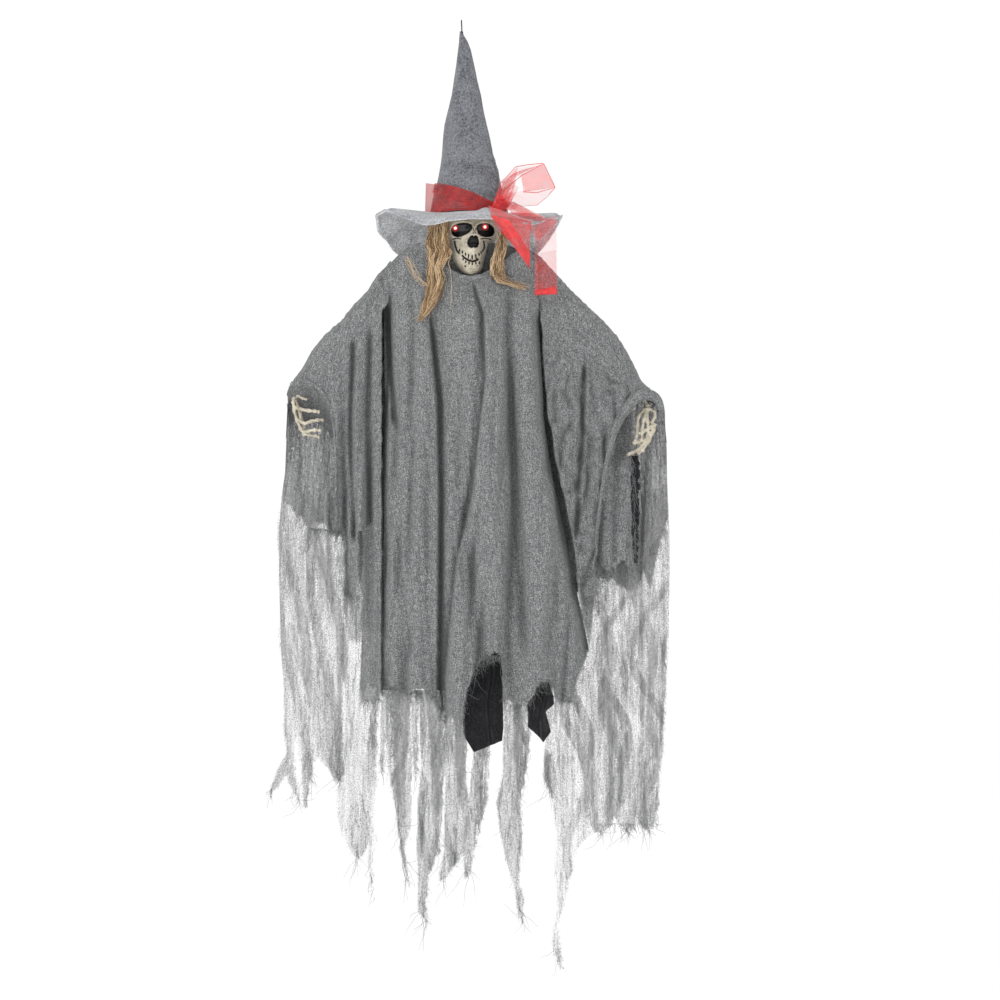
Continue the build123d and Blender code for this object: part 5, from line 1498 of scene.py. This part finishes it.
# ---------------------------------------------------------------- torn strips under the body's hem
FRONT_STRIPS = (
    ((-141, -1200, 20), (-141, -1290, 18), (-147, -1395, 12), (-150, -1420, 4)),
    (
        (-116, -1180, 40), (-114, -1271, 34), (-109, -1423, 36), (-105, -1509, 23), (-109, -1566, 11),
        (-100, -1630, 4),
    ),
    ((-84, -1240, 18), (-86, -1360, 14), (-84, -1440, 5)),
    (
        (-58, -1180, 46), (-58, -1271, 42), (-56, -1423, 40), (-56, -1480, 50), (-64, -1566, 44),
        (-73, -1623, 21), (-71, -1680, 18), (-66, -1701, 4),
    ),
    (
        (-14, -1230, 50), (-12, -1271, 44), (-12, -1340, 36), (-10, -1423, 40), (-7, -1480, 47),
        (-10, -1566, 44), (-37, -1626, 12),
    ),
    (
        (100, -1230, 46), (98, -1290, 38), (95, -1423, 34), (90, -1480, 47), (96, -1537, 44),
        (98, -1585, 28), (104, -1632, 14), (109, -1661, 16), (115, -1710, 3),
    ),
    ((164, -1392, 14), (163, -1430, 16), (168, -1456, 4)),
)
MIDDLE_STRIPS = (((30, -1300, 44), (37, -1404, 34), (31, -1480, 38), (16, -1566, 25), (9, -1634, 8)),)
REAR_MIDDLE = (
    ((-120, -1230, 60), (-126, -1400, 40), (-118, -1520, 22), (-122, -1560, 4)),
    ((-52, -1230, 56), (-44, -1380, 34), (-50, -1500, 18), (-46, -1590, 4)),
    ((58, -1230, 40), (60, -1290, 16), (56, -1330, 3)),
    ((112, -1230, 44), (118, -1400, 30), (110, -1500, 4)),
    ((-4, -1230, 30), (-2, -1420, 24), (-8, -1500, 4)),
)
# Each row of strips: a seed, its depth, its reach, its top and how deeply it folds.
HEM_ROWS = (
    (FRONT_STRIPS, 601, -80, -168, 170, -1266, 1.0),
    (MIDDLE_STRIPS, 631, 34, 0, 214, -1240, 0.7),
    (REAR_MIDDLE, 661, 94, -168, 170, -1230, 0.8),
)
net = Net()
for strips, seed, place, lo, hi, top, rise in HEM_ROWS:
    x, z = columns(lo, hi, lambda x: 0 * x + top, min(p[-1][1] for p in strips) - 4, 2.2, 3.4)
    y = place + rise * (5 * ruck(x, z, 46, seed, 0.12) + 2.2 * ruck(x, z, 19, seed + 1, 0.2))
    y = y + 0.035 * np.sign(-place) * (-z - 1275) * smooth((-z - 1275) / 60)
    d = inside_strips(x, z, strips, seed)
    patchy = 0.50 + 0.06 * waves(x, z * 0.4, 50, seed + 2) - 0.06 * smooth((-z - 1330) / 250)
    patchy = patchy + 0.22 * smooth(8 * (np.sin(x / 8.0 + 2.4 * waves(x * 0.2, z, 260, seed + 6, 3)) - 0.5))
    cloth_grid(net, x, z, y, patchy * smooth(d / 3.0) + 0.35 * smooth(d / 3.0) * smooth((z + 1300) / 50))
    for j, path in enumerate(strips):
        fringe(net, 14, strip_tip(path, 8, place * 0.95), seed + 9 + j, (12, 44), 0.3)
        fringe(net, 16, strip_sides(path, place), seed + 19 + j, (6, 20), 0.26)
tatters = net.piece("hem_tatters", [ROBE, GAUZE], "robe_gauze", "torso")
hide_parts("robe_tatters")
net = Net()
fringe(net, 260, lambda t: (-146 + 370 * t, -bodice(-146 + 370 * t, -1270) + 4,
        table(-146 + 370 * t, FRONT_HEM) + 4), 701, (7, 26), 0.36)
fringe(net, 150, lambda t: (2 + 76 * t, -106, table(2 + 76 * t, FRONT_HEM) + 3), 702, (6, 17), 0.42, 1.3)
fringe(net, 60, lambda t: (126 + 48 * t, -100, table(126 + 48 * t, FRONT_HEM) + 3), 703, (6, 17), 0.42, 1.3)
fringe(net, 120, lambda t: (-146 + 300 * t, 100, -1284), 704, (8, 30), 0.36)
hem_threads = net.piece("hem_fringe", GAUZE, "robe_gauze", "torso")

# ---------------------------------------------------------------- legs: limp black felt
LEGS = {
    "left": (
        ((-712, -36), (-1100, -4), (-1254, 1), (-1360, 3)),
        ((-712, 24), (-1100, 70), (-1262, 78), (-1340, 80), (-1370, 77)),
        ((0, -1355), (0.28, -1389), (1, -1367)),
        ((54, -1150), (58, -1240), (50, -1300), (57, -1390)),
        ((30, -1300), (50, -1330), (72, -1372)),
    ),
    "right": (
        ((-712, 40), (-1100, 104), (-1250, 124), (-1319, 126), (-1345, 126)),
        (
            (-712, 98), (-1100, 156), (-1262, 168), (-1282, 175), (-1298, 176), (-1312, 160),
            (-1349, 170), (-1372, 162),
        ),
        ((0, -1341), (0.8, -1370), (1, -1352)),
        ((150, -1200), (158, -1270), (146, -1330), (150, -1380)),
        ((128, -1300), (146, -1322), (166, -1350)),
    ),
}
LEG_TOP = -712
for side, (x_left, x_right, low, crease_path, cross) in LEGS.items():
    phi, v = np.meshgrid(turns(120), np.linspace(0, 1, 190))
    u = 0.5 - 0.5 * np.cos(phi)
    z = LEG_TOP + v * (table(u, low) - LEG_TOP)
    a, b = table(z, x_left), table(z, x_right)
    x = a + u * (b - a)
    face = np.sign(np.sin(phi)) * np.abs(np.sin(phi)) ** 0.45
    y = -6.0 * face + 2.5 * ruck(x, z, 60, 720, 0.2) + 0.8 * waves(x, z, 22, 721)
    beside = [(p[0] + 8, p[1]) for p in crease_path]
    y = (
        y + valley(x, z, crease_path, 3.5, 6, 20) * (face > 0)
        - valley(x, z, beside, 5, 3.5, 20) * (face > 0)
    )
    slant = (x - table(z, [(p[1], p[0]) for p in cross])) / 5.0
    ends = smooth((z - cross[-1][1]) / 10) * smooth((cross[0][1] - z) / 10)
    y = y - 2.6 * bell(slant) * ends * (face > 0)
    y = y - 1.4 * bell((z - table(u, low) - 6) / 3.0) * face
    leg = np.stack([x, y, z], -1) * MM
    piece = Net().grid(leg, flat_lay(leg), closed=True).piece(f"{side}_leg_felt", FELT, "leg_felt",
        f"{side}_leg")
    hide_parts(f"{side}_leg")

# ---------------------------------------------------------------- hair
HAIR_PATHS = {
    "left": (
        (
            (-368, -42, 19), (-384, -41, 21), (-409, -42, 22), (-431, -43, 22), (-445, -43, 21),
            (-460, -46, 18), (-474, -49, 15), (-504, -47, 14), (-534, -56, 13), (-558, -69, 9),
            (-572, -77, 5),
        ),
        420,
    ),
    "right": (
        (
            (-404, 77, 6), (-420, 76, 8), (-440, 73, 10), (-470, 67, 10), (-486, 65, 10), (-497, 73, 8),
            (-503, 90, 5), (-513, 120, 3),
        ),
        150,
    ),
}
for side, (path, count) in HAIR_PATHS.items():
    r = np.random.default_rng(801 if side == "left" else 803)
    k = np.linspace(0, 1, 46)
    s = np.linspace(0, 1, len(path))
    middle, wide, drop = (np.interp(k, s, [p[i] for p in path]) for i in (1, 2, 0))
    lock = r.integers(0, 11, count)
    of_lock = r.uniform(-0.9, 0.9, 11)[lock]
    across = np.clip(of_lock + r.normal(0, 0.13, count), -1.05, 1.05)
    span_of = np.clip(r.normal(0.86, 0.16, count), 0.35, 1.0)
    kk = k[None] * span_of[:, None]
    mid, half, zz = (np.interp(kk, k, v) for v in (middle, wide, drop))
    swing = r.uniform(0, 6.3, 11)[lock][:, None] + r.normal(0, 0.35, (count, 1))
    curl = (
        (3.2 * kk + 0.8) * np.sin(kk * r.uniform(9, 15, 11)[lock][:, None] + swing)
        + 1.5 * np.sin(kk * 34 + 3 * swing)
    )
    xx = mid + across[:, None] * half + curl + r.normal(0, 0.7, (count, 1))
    loose = (r.uniform(0, 1, (count, 1)) > 0.86) * r.normal(0, 14, (count, 1)) * kk**2
    loose = loose + 0.9 * np.sin(kk * r.uniform(40, 80, (count, 1)) + 9 * swing)
    xx, zz = xx + loose, zz + 3.0 * np.cos(kk * 13 + swing) * kk
    y_robe = -(bodice(xx, zz) + 5)
    fade = smooth((-zz - 425) / 30)
    yy = (-30 - 12 * smooth((-zz - 372) / 50)) * (1 - fade) + np.minimum(y_robe, -40) * fade
    yy = yy - r.uniform(0, 9, (count, 1)) - 2.5 * np.cos(kk * 12 + swing)
    net = Net()
    shade = np.clip(0.5 + 0.3 * r.normal(0, 1, 11)[lock] + r.normal(0, 0.33, count), 0, 1)
    net.tubes(np.stack([xx, yy, zz], -1) * MM, 0.5 * MM, shade)
    if side == "left":
        t = np.linspace(0, 1, 30)[None]
        n = 9
        j, w = r.normal(0, 3.2, (n, 1)), r.uniform(0, 6, (n, 1))
        stray_x = -104 + 42 * t**0.8 + j * np.sin(3 * t) + 2.2 * np.sin(7 * t + w)
        stray_z = -456 - 52 * t - 11 * np.sin(3.1 * t) + j * (1 - t) + 2 * np.sin(9 * t + w)
        stray = np.stack([stray_x, -62 - 6 * t + 0.3 * j, stray_z], -1)
        net.tubes(stray * MM, 0.3 * MM, r.uniform(0.5, 0.9, n))
        j = r.normal(0, 2.2, (14, 1))
        curl_in = np.stack([-40 + 22 * np.sin(t * 3.0) + j * t, -52 - 4 * t + 0.5 * j, -428 - 34 * t + j],
            -1)
        net.tubes(curl_in * MM, 0.5 * MM, r.uniform(0.3, 0.9, 14))
    hair = net.piece(f"{side}_hair_strands", HAIR, "hair_fibre")
    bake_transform(hair)
    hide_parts(f"{side}_hair")
